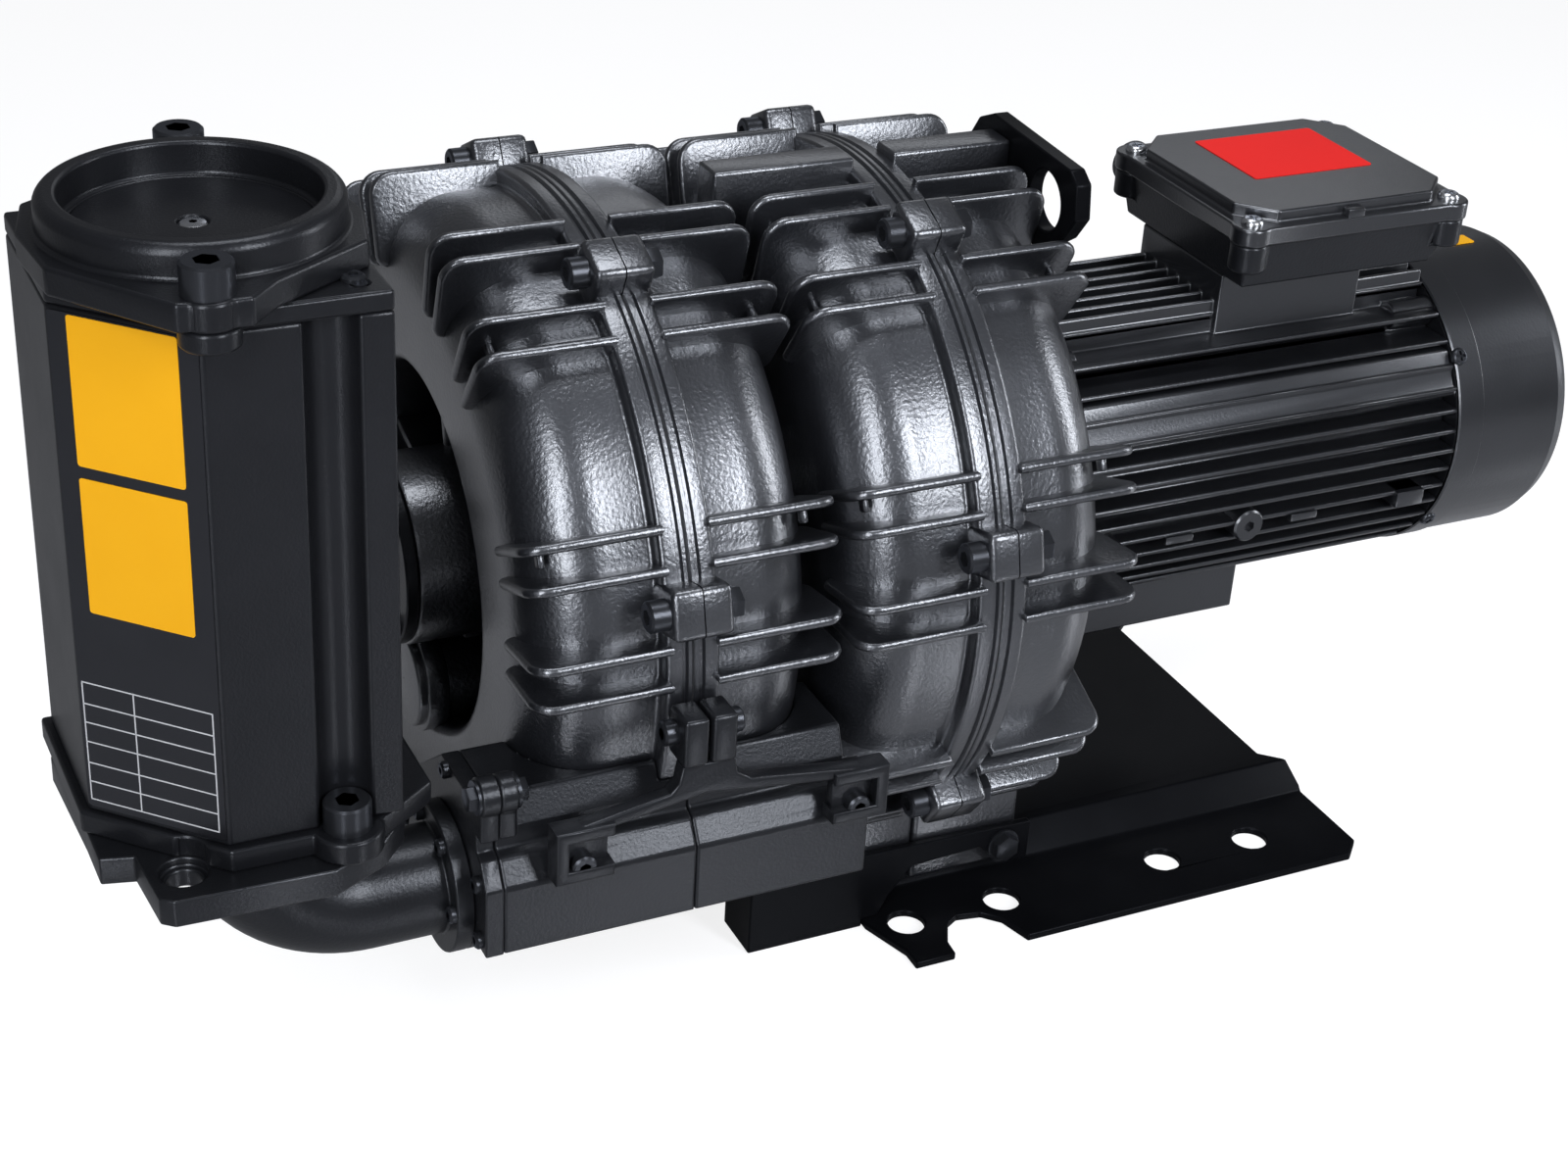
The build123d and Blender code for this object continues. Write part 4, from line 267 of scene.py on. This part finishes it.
def ring_half(stage, side, hub_radius, hub_end, bore, seat_depth):
    """One half of a stage, from the seam outwards: channel, band, ribs, bosses and hub."""
    seam = [(0.3, 152), (0.3, 164.4), (0.9, 165), (2.4, 165), (3.2, 163.4), (4.4, 163.4), (5.2, 165)]
    outside = [(12, 165), (12, 157), (66, 157), (66, 84), (12.5, 84)]
    hub = [(12.5, hub_radius), (hub_end, hub_radius), (hub_end, bore), (seat_depth, bore), (seat_depth, 30)]
    inside = [(6.5, 30), (6.5, 89), (61, 89), (61, 152)]
    outline = seam + outside + hub + inside
    roundings = [(7, 2.2, 4), (8, 2.2, 3), (9, 34, 14), (10, 8, 5), (11, 6, 4), (12, 5, 4), (13, 2, 2),
                 (19, 8, 3), (20, 30, 6)]
    shape = bmesh.new()
    turned_ring(shape, outline, roundings, side, stage_x[stage], 128)
    for boss in boss_at[stage]:
        for offset in (-11.7, -5.8, 5.8, 11.7):
            add_shape(shape, cooling_rib(), radial(boss + offset, stage_x[stage], side))
        for offset in (-7.7, 9.8):
            peg = block(0.003, 0.0065, 0.005, 0.001)
            bmesh.ops.translate(peg, vec=(0.0590, 0, 0.1520), verts=peg.verts)
            add_shape(shape, peg, radial(boss + offset, stage_x[stage], side))
        lug = bmesh.new()
        bmesh.ops.create_cube(lug, size=1)
        bmesh.ops.scale(lug, vec=(0.0132, 0.022, 0.028), verts=lug.verts)
        away_from_seam = [e for e in lug.edges if max(v.co.x for v in e.verts) > 0]
        bmesh.ops.bevel(lug, geom=away_from_seam, offset=0.003, offset_type="OFFSET", segments=3, profile=0.5,
                        affect="EDGES", material=-1)
        bmesh.ops.translate(lug, vec=(0.0069, 0, 0.164), verts=lug.verts)
        add_shape(shape, lug, radial(boss, stage_x[stage], side))
    return shape


outer = ring_half(1, -1, 44, 78, 26.02, 60)
for n in range(6):
    web = block(0.036, 0.005, 0.042, 0.0015)
    bmesh.ops.translate(web, vec=(0.030, 0, 0.064), verts=web.verts)
    add_shape(outer, web, radial(44.5 + 60 * n, stage_x[1], -1))
port = bmesh.new()
turned_ring(port, [(11, 0.5), (74, 0.5), (74, 23), (70, 23), (70, 26), (60, 26), (60, 23), (11, 23)],
            [(2, 1.5, 3), (4, 1, 2), (5, 1, 2)], -1, stage_x[1], 48)
add_shape(outer, port, Matrix.Translation((0, -0.005, -0.066)))
place_piece("stage_1_outer", outer, ring_paint, ("stage_1_outer_housing",), sharp=35)
inner = ring_half(1, 1, 40, 73.5, 24, 60)
place_piece("stage_1_inner", inner, ring_paint, ("stage_1_inner_housing",), sharp=35)

# The second stage also carries the cast feet and a cast block across its top. The block
# is cut by the band, and its right end holds the lifting lug.
foot_low, foot_high = 0.018, 0.072
block_front, block_back, block_low, block_high = -0.016, 0.002, 0.326, 0.357
for name, side, hub, hub_end, seat_depth, block_end, foot_end in (("inner", -1, 40, 73.5, 60, 0.079, 0.045),
                                                                  ("motor", 1, 66, 70, 34, 0.071, 0.058)):
    half = ring_half(2, side, hub, hub_end, 24, seat_depth)
    rail = block(block_end - 0.010, block_back - block_front, block_high - block_low, 0.0016, 3)
    rail_x = stage_x[2] + side * (block_end + 0.010) / 2
    rail_y = (block_front + block_back) / 2
    add_shape(half, rail, Matrix.Translation((rail_x, rail_y, (block_low + block_high) / 2)))
    for y_side in (-1, 1):
        foot = block(foot_end - 0.0004, 0.0457, foot_high - foot_low, 0.0025, 3)
        foot_x = stage_x[2] + side * (foot_end + 0.0004) / 2
        add_shape(half, foot, Matrix.Translation((foot_x, y_side * 0.08285, (foot_low + foot_high) / 2)))
    place_piece("stage_2_" + name, half, ring_paint, (f"stage_2_{name}_housing",), sharp=35)


# Band screws: black oxide cap screws with a hexagon socket on the silencer side, and a
# hexagon nut on the motor side of every boss.
def turned_part(points, steps):
    """Spins (radius, height) points round Z; an open end is left open."""
    part = bmesh.new()
    made = [part.verts.new((r, 0, z)) for r, z in points]
    for here, there in zip(made, made[1:]):
        part.edges.new((here, there))
    bmesh.ops.spin(part, geom=part.verts[:] + part.edges[:], cent=(0, 0, 0), axis=(0, 0, 1), angle=2 * pi,
                   steps=steps, use_merge=True)
    bmesh.ops.remove_doubles(part, verts=part.verts, dist=0.00001)
    return part


def sink_opening(part, opening, depth):
    """Joins the open rim of a head to the outline of its key opening and sinks that."""
    inside = set(opening)
    edges = [e for e in part.edges if e.verts[0] in inside and e.verts[1] in inside]
    rim = [e for e in part.edges if e.is_boundary and e.verts[0] not in inside]
    bmesh.ops.bridge_loops(part, edges=rim + edges)
    sunk = bmesh.ops.extrude_edge_only(part, edges=edges)["geom"]
    low = [v for v in sunk if isinstance(v, bmesh.types.BMVert)]
    bmesh.ops.translate(part, vec=(0, 0, -depth), verts=low)
    low_edges = [e for e in sunk if isinstance(e, bmesh.types.BMEdge) and set(e.verts) <= set(low)]
    bmesh.ops.contextual_create(part, geom=low_edges)


def cap_screw(radius, height, key, sink=0.003):
    """Cap screw head, seen from outside: a chamfered cylinder with a hexagon socket."""
    part = turned_part([(0, 0), (radius, 0), (radius, height - 0.0009), (radius - 0.0009, height),
                        (key + 0.0012, height)], 28)
    opening = bmesh.ops.create_circle(part, segments=6, radius=key, matrix=Matrix.Translation((0, 0, height)))
    sink_opening(part, opening["verts"], sink)
    return part


def hex_head(radius, height, washer=0.0):
    """Hexagon head or nut with a rounded crown, on a washer where it has one."""
    part = bmesh.new()
    bmesh.ops.create_cone(part, cap_ends=True, segments=6, radius1=radius, radius2=radius, depth=height,
                          matrix=Matrix.Translation((0, 0, height / 2)))
    crown = [e for e in part.edges if min(v.co.z for v in e.verts) > height * 0.9]
    bmesh.ops.bevel(part, geom=crown, offset=radius * 0.12, offset_type="OFFSET", segments=2, profile=0.5,
                    affect="EDGES", material=-1)
    if washer:
        disc = turned_part([(0, -0.0004), (washer, -0.0004), (washer, 0.0012), (0, 0.0012)], 28)
        add_shape(part, disc, Matrix.Identity(4))
    return part


def seat(point, outward):
    """Matrix that puts a screw head's foot on a point, looking outward."""
    return Matrix.Translation(point) @ Vector(outward).to_track_quat("Z", "Y").to_matrix().to_4x4()


black_oxide = grained_finish("black_oxide_steel", (0.02, 0.021, 0.024), (0.045, 0.047, 0.053), 0.3, 1500,
                             0.00005, 0.7)
bolt_circle = 0.169
boss_half = 0.0135
screws = bmesh.new()
for stage, places in boss_at.items():
    for a in map(radians, places):
        y = -bolt_circle * cos(a)
        z = axis_height + bolt_circle * sin(a)
        silencer_end = seat((stage_x[stage] - boss_half, y, z), (-1, 0, 0))
        motor_end = seat((stage_x[stage] + boss_half, y, z), (1, 0, 0))
        add_shape(screws, cap_screw(0.0068, 0.0085, 0.0036), silencer_end)
        add_shape(screws, hex_head(0.007, 0.006), motor_end)
place_piece("band_screws", screws, black_oxide, ("band_bolts",))


# Castings whose shape is already right in the frame: port boxes, covers, elbow, endshields
# and the short duct. A merged copy of each gets the rounded edges of a casting.
def rounded_copy(node, finish, width=0.0008, steps=2, sharp=30, clamped=False):
    """Merged copy of a node of the frame, smooth between rounded edges. Where short edges
    would throw the rounding out of shape, it is clamped to what they allow."""
    shape = bmesh.new()
    shape.from_mesh(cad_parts[node].data)
    bmesh.ops.remove_doubles(shape, verts=shape.verts, dist=0.00001)
    bmesh.ops.dissolve_limit(shape, angle_limit=radians(0.6), verts=shape.verts, edges=shape.edges)
    piece = place_piece(node + "_finished", shape, finish, (node,), sharp=sharp)
    edge = piece.modifiers.new("rounded edges", "BEVEL")
    edge.limit_method = "ANGLE"
    edge.angle_limit = radians(sharp)
    edge.width = width
    edge.segments = steps
    edge.use_clamp_overlap = clamped
    return piece


smooth_paint = grained_finish("smooth_casting_paint", (0.004, 0.0042, 0.005), (0.009, 0.0094, 0.011), 0.36,
                              700, 0.00015, gloss=0.3, coat=0.12)
for node in ("inlet_port_box_left", "inlet_port_box_right"):
    rounded_copy(node, smooth_paint, 0.0014, 3)
for node in ("interstage_duct", "inlet_end_cover", "outlet_end_cover", "bearing_cover", "inlet_elbow",
             "drive_endshield"):
    rounded_copy(node, smooth_paint)
for node in ("outlet_port_box", "rear_endshield"):
    rounded_copy(node, smooth_paint, clamped=True)

# Cover screws: small black cap screws round the elbow flange, both end covers and the
# outboard bearing cover.
cover_heads = bmesh.new()
flange_screw_places = ((-0.1025, 0.101), (-0.1167, 0.1257), (-0.14525, 0.1257), (-0.1595, 0.101))
end_screw_places = ((0.072, 0.092), (0.170, 0.093), (0.168, 0.120), (0.128, 0.152))
cover_screw_size = (0.0038, 0.003, 0.0018, 0.0015)
for y, z in flange_screw_places:
    add_shape(cover_heads, cap_screw(*cover_screw_size), seat((-0.343, y, z), (-1, 0, 0)))
for y, z in end_screw_places:
    add_shape(cover_heads, cap_screw(*cover_screw_size), seat((-0.335, -y, z), (-1, 0, 0)))
    add_shape(cover_heads, cap_screw(*cover_screw_size), seat((-0.011, y, z), (1, 0, 0)))
place_piece("cover_screw_heads", cover_heads, black_oxide, ("cover_screws",))
bearing_heads = bmesh.new()
for y in (-0.0255, 0.0255):
    for dz in (-0.0255, 0.0255):
        foot = (-0.324, y, axis_height + dz)
        add_shape(bearing_heads, cap_screw(0.0055, 0.005, 0.0028), seat(foot, (-1, 0, 0)))
place_piece("bearing_cover_screw_heads", bearing_heads, black_oxide, ("bearing_cover_screws",))

# Yoke: a cast Y-shaped clamp ties the inlet box to the band of stage 1. Its slim arms end
# in a U-shaped lug at both sides. Cap screws and a hexagon bolt hold it and the cover.
yoke_outline = [(-12, 168), (12, 168), (13.5, 160), (20, 155.5), (74, 148.5), (74, 143), (22, 149.5),
                (0, 152.5), (-18, 149.5), (-57, 143), (-57, 148.5), (-17, 155.5), (-13.5, 160)]
lug_outline = [(-13, 12.7), (13, 12.7), (13, 6.9), (-7.2, 6.9), (-7.2, -6.9), (13, -6.9), (13, -12.7),
               (-13, -12.7)]


def cast_outline(points, thick, rounding):
    """Casting of one outline of (x, z) in mm, from Y 0 to the front, its edges rounded."""
    part = bmesh.new()
    part.faces.new([part.verts.new((x / 1000, 0, z / 1000)) for x, z in points])
    thicken(part, (0, -thick, 0))
    rim = [e for e in part.edges if abs(e.verts[0].co.y - e.verts[1].co.y) < 0.0001]
    bmesh.ops.bevel(part, geom=rim, offset=rounding, offset_type="OFFSET", segments=3, profile=0.5,
                    affect="EDGES", material=-1, clamp_overlap=True)
    return part


yoke = bmesh.new()
add_shape(yoke, cast_outline(yoke_outline, 0.008, 0.0016), Matrix.Translation((stage_x[1], -0.176, 0)))
for side in (-1, 1):
    ear = block(0.0112, 0.0172, 0.0225, 0.0018, 3)
    add_shape(yoke, ear, Matrix.Translation((stage_x[1] + side * 0.0064, -0.1763, 0.1785)))
for x_mid, turn in ((-0.295, 1), (-0.168, -1)):
    outline = [(turn * x, z) for x, z in lug_outline]
    add_shape(yoke, cast_outline(outline, 0.0118, 0.0014), Matrix.Translation((x_mid, -0.1746, 0.136)))
    foot = block(0.0235, 0.0050, 0.0235, 0.0006)
    add_shape(yoke, foot, Matrix.Translation((x_mid, -0.178, 0.136)))
place_piece("yoke_casting", yoke, smooth_paint, ("inlet_yoke",))
yoke_screws = bmesh.new()
for x in (-0.295, -0.168):
    add_shape(yoke_screws, cap_screw(0.0055, 0.005, 0.0028), seat((x, -0.1805, 0.129), (0, -1, 0)))
for x, outward in ((-0.252, -1), (-0.228, 1)):
    add_shape(yoke_screws, cap_screw(0.0055, 0.006, 0.0028), seat((x, -0.174, 0.180), (outward, 0, 0)))
for x, outward in ((-0.335, -1), (-0.319, 1)):
    add_shape(yoke_screws, hex_head(0.0055, 0.005, 0.0075), seat((x, -0.165, 0.161), (outward, 0, 0)))
place_piece("yoke_screws", yoke_screws, black_oxide, ("yoke_bolts",))

# Motor: an aluminium extrusion with long rounded fins. A sealing plug, two clips and an
# earthing block sit between the fins of the front side.
motor_paint = grained_finish("motor_paint", (0.003, 0.0032, 0.004), (0.0075, 0.0078, 0.0092), 0.33, 700,
                             0.0001, gloss=0.6, coat=0.6)
rounded_copy("motor_housing", motor_paint, 0.0011, 3)
fittings = bmesh.new()
add_shape(fittings, cap_screw(0.0085, 0.012, 0.003), seat((0.1, -0.0665, 0.165), (0, -1, 0)))
for x in (0.059, 0.133):
    add_shape(fittings, block(0.016, 0.012, 0.0042, 0.0008), Matrix.Translation((x, -0.0725, 0.165)))
add_shape(fittings, block(0.017, 0.013, 0.009, 0.001), Matrix.Translation((0.1985, -0.0725, 0.164)))
add_shape(fittings, block(0.010, 0.012, 0.009, 0.001), Matrix.Translation((0.020, -0.0725, 0.165)))
place_piece("motor_side_fittings", fittings, motor_paint)

# Fan cowl: pressed steel over the cooling fan, with slots in its end. Its front edge is
# rolled to a raised band, which four cross-slotted screws hold to the rear endshield.
rounded_copy("fan_cowl", motor_paint, 0.0006, 2, clamped=True)
band = bmesh.new()
turned_ring(band, [(-8, 79.2), (-8, 80.1), (-7.2, 80.8), (7.2, 80.8), (8, 80.1), (8, 79.2)], [], 1, 0.229, 96)
place_piece("fan_cowl_band", band, motor_paint)


def cross_screw(radius, height, reach):
    """Pan head with a cross slot: every third point of a circle of twelve is drawn in."""
    part = turned_part([(0, 0), (radius, 0), (radius, height * 0.35), (radius * 0.9, height * 0.75),
                        (radius * 0.7, height), (reach + 0.0004, height)], 24)
    turn = Matrix.Translation((0, 0, height)) @ Matrix.Rotation(radians(15), 4, "Z")
    opening = bmesh.ops.create_circle(part, segments=12, radius=reach, matrix=turn)["verts"]
    for corner in opening:
        if abs(abs(corner.co.x) - abs(corner.co.y)) < reach * 0.1:
            corner.co.x *= 0.366
            corner.co.y *= 0.366
    sink_opening(part, opening, height * 0.6)
    return part


cowl_radius = 0.080
cowl_heads = bmesh.new()
for a in map(radians, (35, 145, 215, 325)):
    away = (0, cos(a), sin(a))
    foot = (0.224, cowl_radius * cos(a), axis_height + cowl_radius * sin(a))
    add_shape(cowl_heads, cross_screw(0.0045, 0.0025, 0.0027), seat(foot, away))
place_piece("cowl_screw_heads", cowl_heads, black_oxide, ("cowl_screws",))

# Terminal box: a cast tray with drafted sides on the motor's neck, and a lid with a
# stepped crown that four bright cross-slotted screws hold at its corners.
rounded_copy("terminal_box_base", smooth_paint, 0.0014, 3)
rounded_copy("terminal_box_lid", motor_paint, 0.0012, 3)
bright_zinc = grained_finish("bright_zinc_steel", (0.55, 0.56, 0.58), (0.72, 0.73, 0.75), 0.25, 1500, 0.00003,
                             1.0, 0.08, 90)
lid_heads = bmesh.new()
for x in (0.094, 0.210):
    for y in (-0.052, 0.052):
        add_shape(lid_heads, cross_screw(0.0055, 0.003, 0.0034), seat((x, y, 0.316), (0, 0, 1)))
place_piece("lid_screw_heads", lid_heads, bright_zinc, ("terminal_lid_screws",))


def rounded_sheet(length, width, corner):
    """Flat rectangle with rounded corners, on Z 0."""
    sheet = bmesh.new()
    bmesh.ops.create_grid(sheet, x_segments=1, y_segments=1, size=0.5)
    bmesh.ops.scale(sheet, vec=(length, width, 1), verts=sheet.verts)
    bmesh.ops.bevel(sheet, geom=sheet.verts[:], offset=corner, offset_type="OFFSET", segments=4, profile=0.5,
                    affect="VERTICES", material=-1)
    return sheet


def rounded_plate(length, width, thick, corner):
    """Thin plate with rounded corners whose foot lies on Z 0."""
    plate = rounded_sheet(length, width, corner)
    thicken(plate, (0, 0, thick))
    return plate


def raised_rim(length, width, thick, corner, bar):
    """Rim of a plate: the plate's outline as a bar that stands proud, open inside."""
    rim = rounded_sheet(length, width, corner)
    middle = rim.faces[:]
    bmesh.ops.inset_region(rim, faces=middle, thickness=bar, use_even_offset=True)
    bmesh.ops.delete(rim, geom=middle, context="FACES")
    thicken(rim, (0, 0, thick))
    return rim


lid_top = 0.322
lid_trim = bmesh.new()
add_shape(lid_trim, raised_rim(0.092, 0.066, 0.0011, 0.002, 0.0018),
          Matrix.Translation((0.154, 0.009, lid_top)))
add_shape(lid_trim, block(0.010, 0.006, 0.005, 0.0008), Matrix.Translation((0.149, -0.0570, 0.3175)))
place_piece("lid_rim_and_tab", lid_trim, motor_paint)
red_plate = grained_finish("red_plate", (0.66, 0.012, 0.01), (0.74, 0.02, 0.016), 0.5, 1500, 0.00002,
                           gloss=0.1)
panel = bmesh.new()
add_shape(panel, rounded_plate(0.070, 0.055, 0.0004, 0.0015), Matrix.Translation((0.155, 0.0125, lid_top)))
place_piece("lid_plate", panel, red_plate)
plastic = grained_finish("black_moulding", (0.018, 0.018, 0.02), (0.03, 0.03, 0.033), 0.45, 1200, 0.00008)
rounded_copy("cable_gland", plastic, 0.0005, clamped=True)

# Silencer: a square shell of sheet with one cut corner and round flutes, between cast
# plates. The head casting on top carries the inlet ring, closed by a blank disc.
silencer_paint = grained_finish("silencer_powder_coat", (0.004, 0.0042, 0.005), (0.009, 0.0093, 0.011), 0.36,
                                900, 0.00012, gloss=0.2, coat=0.12)
for node in ("silencer_shell", "silencer_top_plate", "silencer_bottom_plate", "silencer_head"):
    rounded_copy(node, silencer_paint, 0.0014, 3)
rounded_copy("inlet_port_disc", silencer_paint, 0.0006)
silencer_x, silencer_y = -0.429, -0.131
shell_heads = bmesh.new()
for sign in (-1, 1):
    top_seat = (silencer_x + sign * 0.0113, silencer_y + sign * 0.064, 0.409)
    low_seat = (silencer_x - sign * 0.033, silencer_y + sign * 0.058, 0.178)
    for foot in (top_seat, low_seat):
        add_shape(shell_heads, cap_screw(0.0095, 0.012, 0.0048, 0.005), seat(foot, (0, 0, 1)))
add_shape(shell_heads, cap_screw(0.0045, 0.0022, 0.0022, 0.0014), seat((-0.3838, -0.174, 0.398), (0, 0, 1)))
place_piece("silencer_screw_heads", shell_heads, black_oxide, ("silencer_flange_screws",))
disc_head = bmesh.new()
dome = turned_part([(0, -0.0026), (0.0055, -0.0026), (0.0055, -0.0012), (0.0046, -0.0003), (0.0026, 0)], 28)
opening = bmesh.ops.create_circle(dome, segments=6, radius=0.0016)
sink_opening(dome, opening["verts"], 0.0014)
add_shape(disc_head, dome, seat((silencer_x, silencer_y, 0.4089), (0, 0, 1)))
place_piece("port_disc_screw_head", disc_head, bright_zinc, ("port_disc_screw",))

# Plate on the cut corner of the silencer: a thin black sheet riveted flat on the shell,
# with two plain amber fields and a ruled table that is left blank.
face_out = Vector((-1, -1, 0)).normalized()
face_along = Vector((1, -1, 0)).normalized()
face_middle = Vector((silencer_x - 0.03475, silencer_y - 0.03475, 0))


def on_cut_corner(along, height, proud):
    """Lays a part drawn in XY on the cut corner, its X along the face and its Z outwards."""
    place = face_middle + face_along * along + face_out * proud + Vector((0, 0, height))
    return Matrix(((face_along.x, 0, face_out.x, place.x), (face_along.y, 0, face_out.y, place.y),
                   (0, 1, 0, place.z), (0, 0, 0, 1)))


sheet_low = 0.181
sheet_high = 0.3885
sheet_thick = 0.0006
backing = bmesh.new()
add_shape(backing, rounded_plate(0.0600, sheet_high - sheet_low, sheet_thick, 0.0015),
          on_cut_corner(0, (sheet_low + sheet_high) / 2, 0))
black_plate = grained_finish("black_plate", (0.006, 0.006, 0.007), (0.012, 0.012, 0.014), 0.25, 1500, 0.00002)
place_piece("silencer_plate", backing, black_plate)
amber_plate = grained_finish("amber_plate", (0.8, 0.37, 0.005), (0.86, 0.42, 0.008), 0.45, 1500, 0.00002,
                             gloss=0.2)
fields = bmesh.new()
for low, high in ((0.3292, 0.3880), (0.2686, 0.3244)):
    add_shape(fields, rounded_plate(0.0440, high - low, 0.0003, 0.0012),
              on_cut_corner(0, (low + high) / 2, sheet_thick))
place_piece("silencer_amber_fields", fields, amber_plate)
white_print = grained_finish("white_rule", (0.5, 0.5, 0.51), (0.6, 0.6, 0.61), 0.4, 1500, 0.00001)
rules = bmesh.new()
for height in (0.2370, 0.2275, 0.2192, 0.2105, 0.2010, 0.1925, 0.1843):
    add_shape(rules, rounded_plate(0.0560, 0.0005, 0.0001, 0.0001),
              on_cut_corner(-0.0007, height, sheet_thick))
table_low = 0.1843
table_high = 0.2370
for along in (-0.0065, -0.0285, 0.0271):
    add_shape(rules, rounded_plate(0.0005, table_high - table_low, 0.0001, 0.0001),
              on_cut_corner(along, (table_low + table_high) / 2, sheet_thick))
place_piece("silencer_blank_table", rules, white_print)
cowl_field = bmesh.new()
add_shape(cowl_field, rounded_plate(0.014, 0.010, 0.0004, 0.001),
          Matrix.Translation((0.2652, -0.003, 0.2678)))
place_piece("cowl_amber_field", cowl_field, amber_plate)

# Base: one bent steel plate with holes for the foundation bolts, a bracket beside each
# foot and the lug on top of stage 2, all painted, with hexagon bolts of one size.
sheet_paint = grained_finish("smooth_sheet_paint", (0.0018, 0.0019, 0.0024), (0.0042, 0.0044, 0.0053), 0.34,
                             800, 0.00006, gloss=0.06)
rounded_copy("base_plate", sheet_paint, 0.0010, 3)
rounded_copy("front_support_bracket", sheet_paint, 0.0009)
rounded_copy("rear_support_bracket", sheet_paint, 0.0009, clamped=True)
rounded_copy("lifting_lug", sheet_paint, 0.0009)
base_heads = bmesh.new()
for x in (-0.107, -0.059):
    for y in (-0.070, 0.070):
        add_shape(base_heads, hex_head(0.007, 0.0055), seat((x, y, 0.014), (0, 0, -1)))
for y_side in (-1, 1):
    bracket_face = seat((-0.044, y_side * 0.110, 0.030), (0, y_side, 0))
    add_shape(base_heads, hex_head(0.007, 0.0055, 0.0085), bracket_face)
add_shape(base_heads, hex_head(0.007, 0.0055, 0.0085), seat((-0.014, -0.007, 0.343), (1, 0, 0)))
place_piece("hex_bolt_heads", base_heads, black_oxide, ("hex_bolts",))


# Inner parts, which keep the frame's shapes: ground steel shaft and bearings, cast alloy
# impellers, laminated cores, varnished windings, seals, fan, terminal block and foam.
def finish_nodes(finish, *nodes):
    """Gives nodes of the frame a finish in place of their plain one."""
    for node in nodes:
        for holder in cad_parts[node].material_slots:
            holder.material = finish


ground_steel = grained_finish("ground_steel", (0.5, 0.5, 0.52), (0.62, 0.62, 0.64), 0.25, 900, 0.00002, 1.0)
finish_nodes(ground_steel, "shaft", "shaft_spacers", "outboard_bearing_inner", "outboard_bearing_outer",
             "drive_end_bearing_inner", "drive_end_bearing_outer", "rear_bearing_inner", "rear_bearing_outer",
             "silencer_core_tube")
cast_alloy = grained_finish("cast_alloy", (0.5, 0.51, 0.53), (0.64, 0.65, 0.67), 0.42, 700, 0.0001, 1.0)
finish_nodes(cast_alloy, "impeller_1", "impeller_2")
core_sheet = grained_finish("core_sheet", (0.26, 0.26, 0.27), (0.37, 0.37, 0.38), 0.45, 1600, 0.00008, 0.9)
finish_nodes(core_sheet, "rotor_core", "stator_core")
winding = grained_finish("varnished_winding", (0.42, 0.16, 0.05), (0.6, 0.27, 0.1), 0.38, 1000, 0.0003, 0.6)
finish_nodes(winding, "stator_windings")
rubber = grained_finish("black_rubber", (0.016, 0.016, 0.016), (0.026, 0.026, 0.026), 0.8, 900, 0.00008)
finish_nodes(rubber, "shaft_seals", "band_gaskets")
finish_nodes(plastic, "cooling_fan", "terminal_block")
finish_nodes(black_oxide, "sleeve_bolts", "endshield_screws", "silencer_tie_rods")
foam = grained_finish("open_foam", (0.09, 0.09, 0.09), (0.16, 0.16, 0.16), 0.9, 500, 0.0006)
finish_nodes(foam, "silencer_liner")
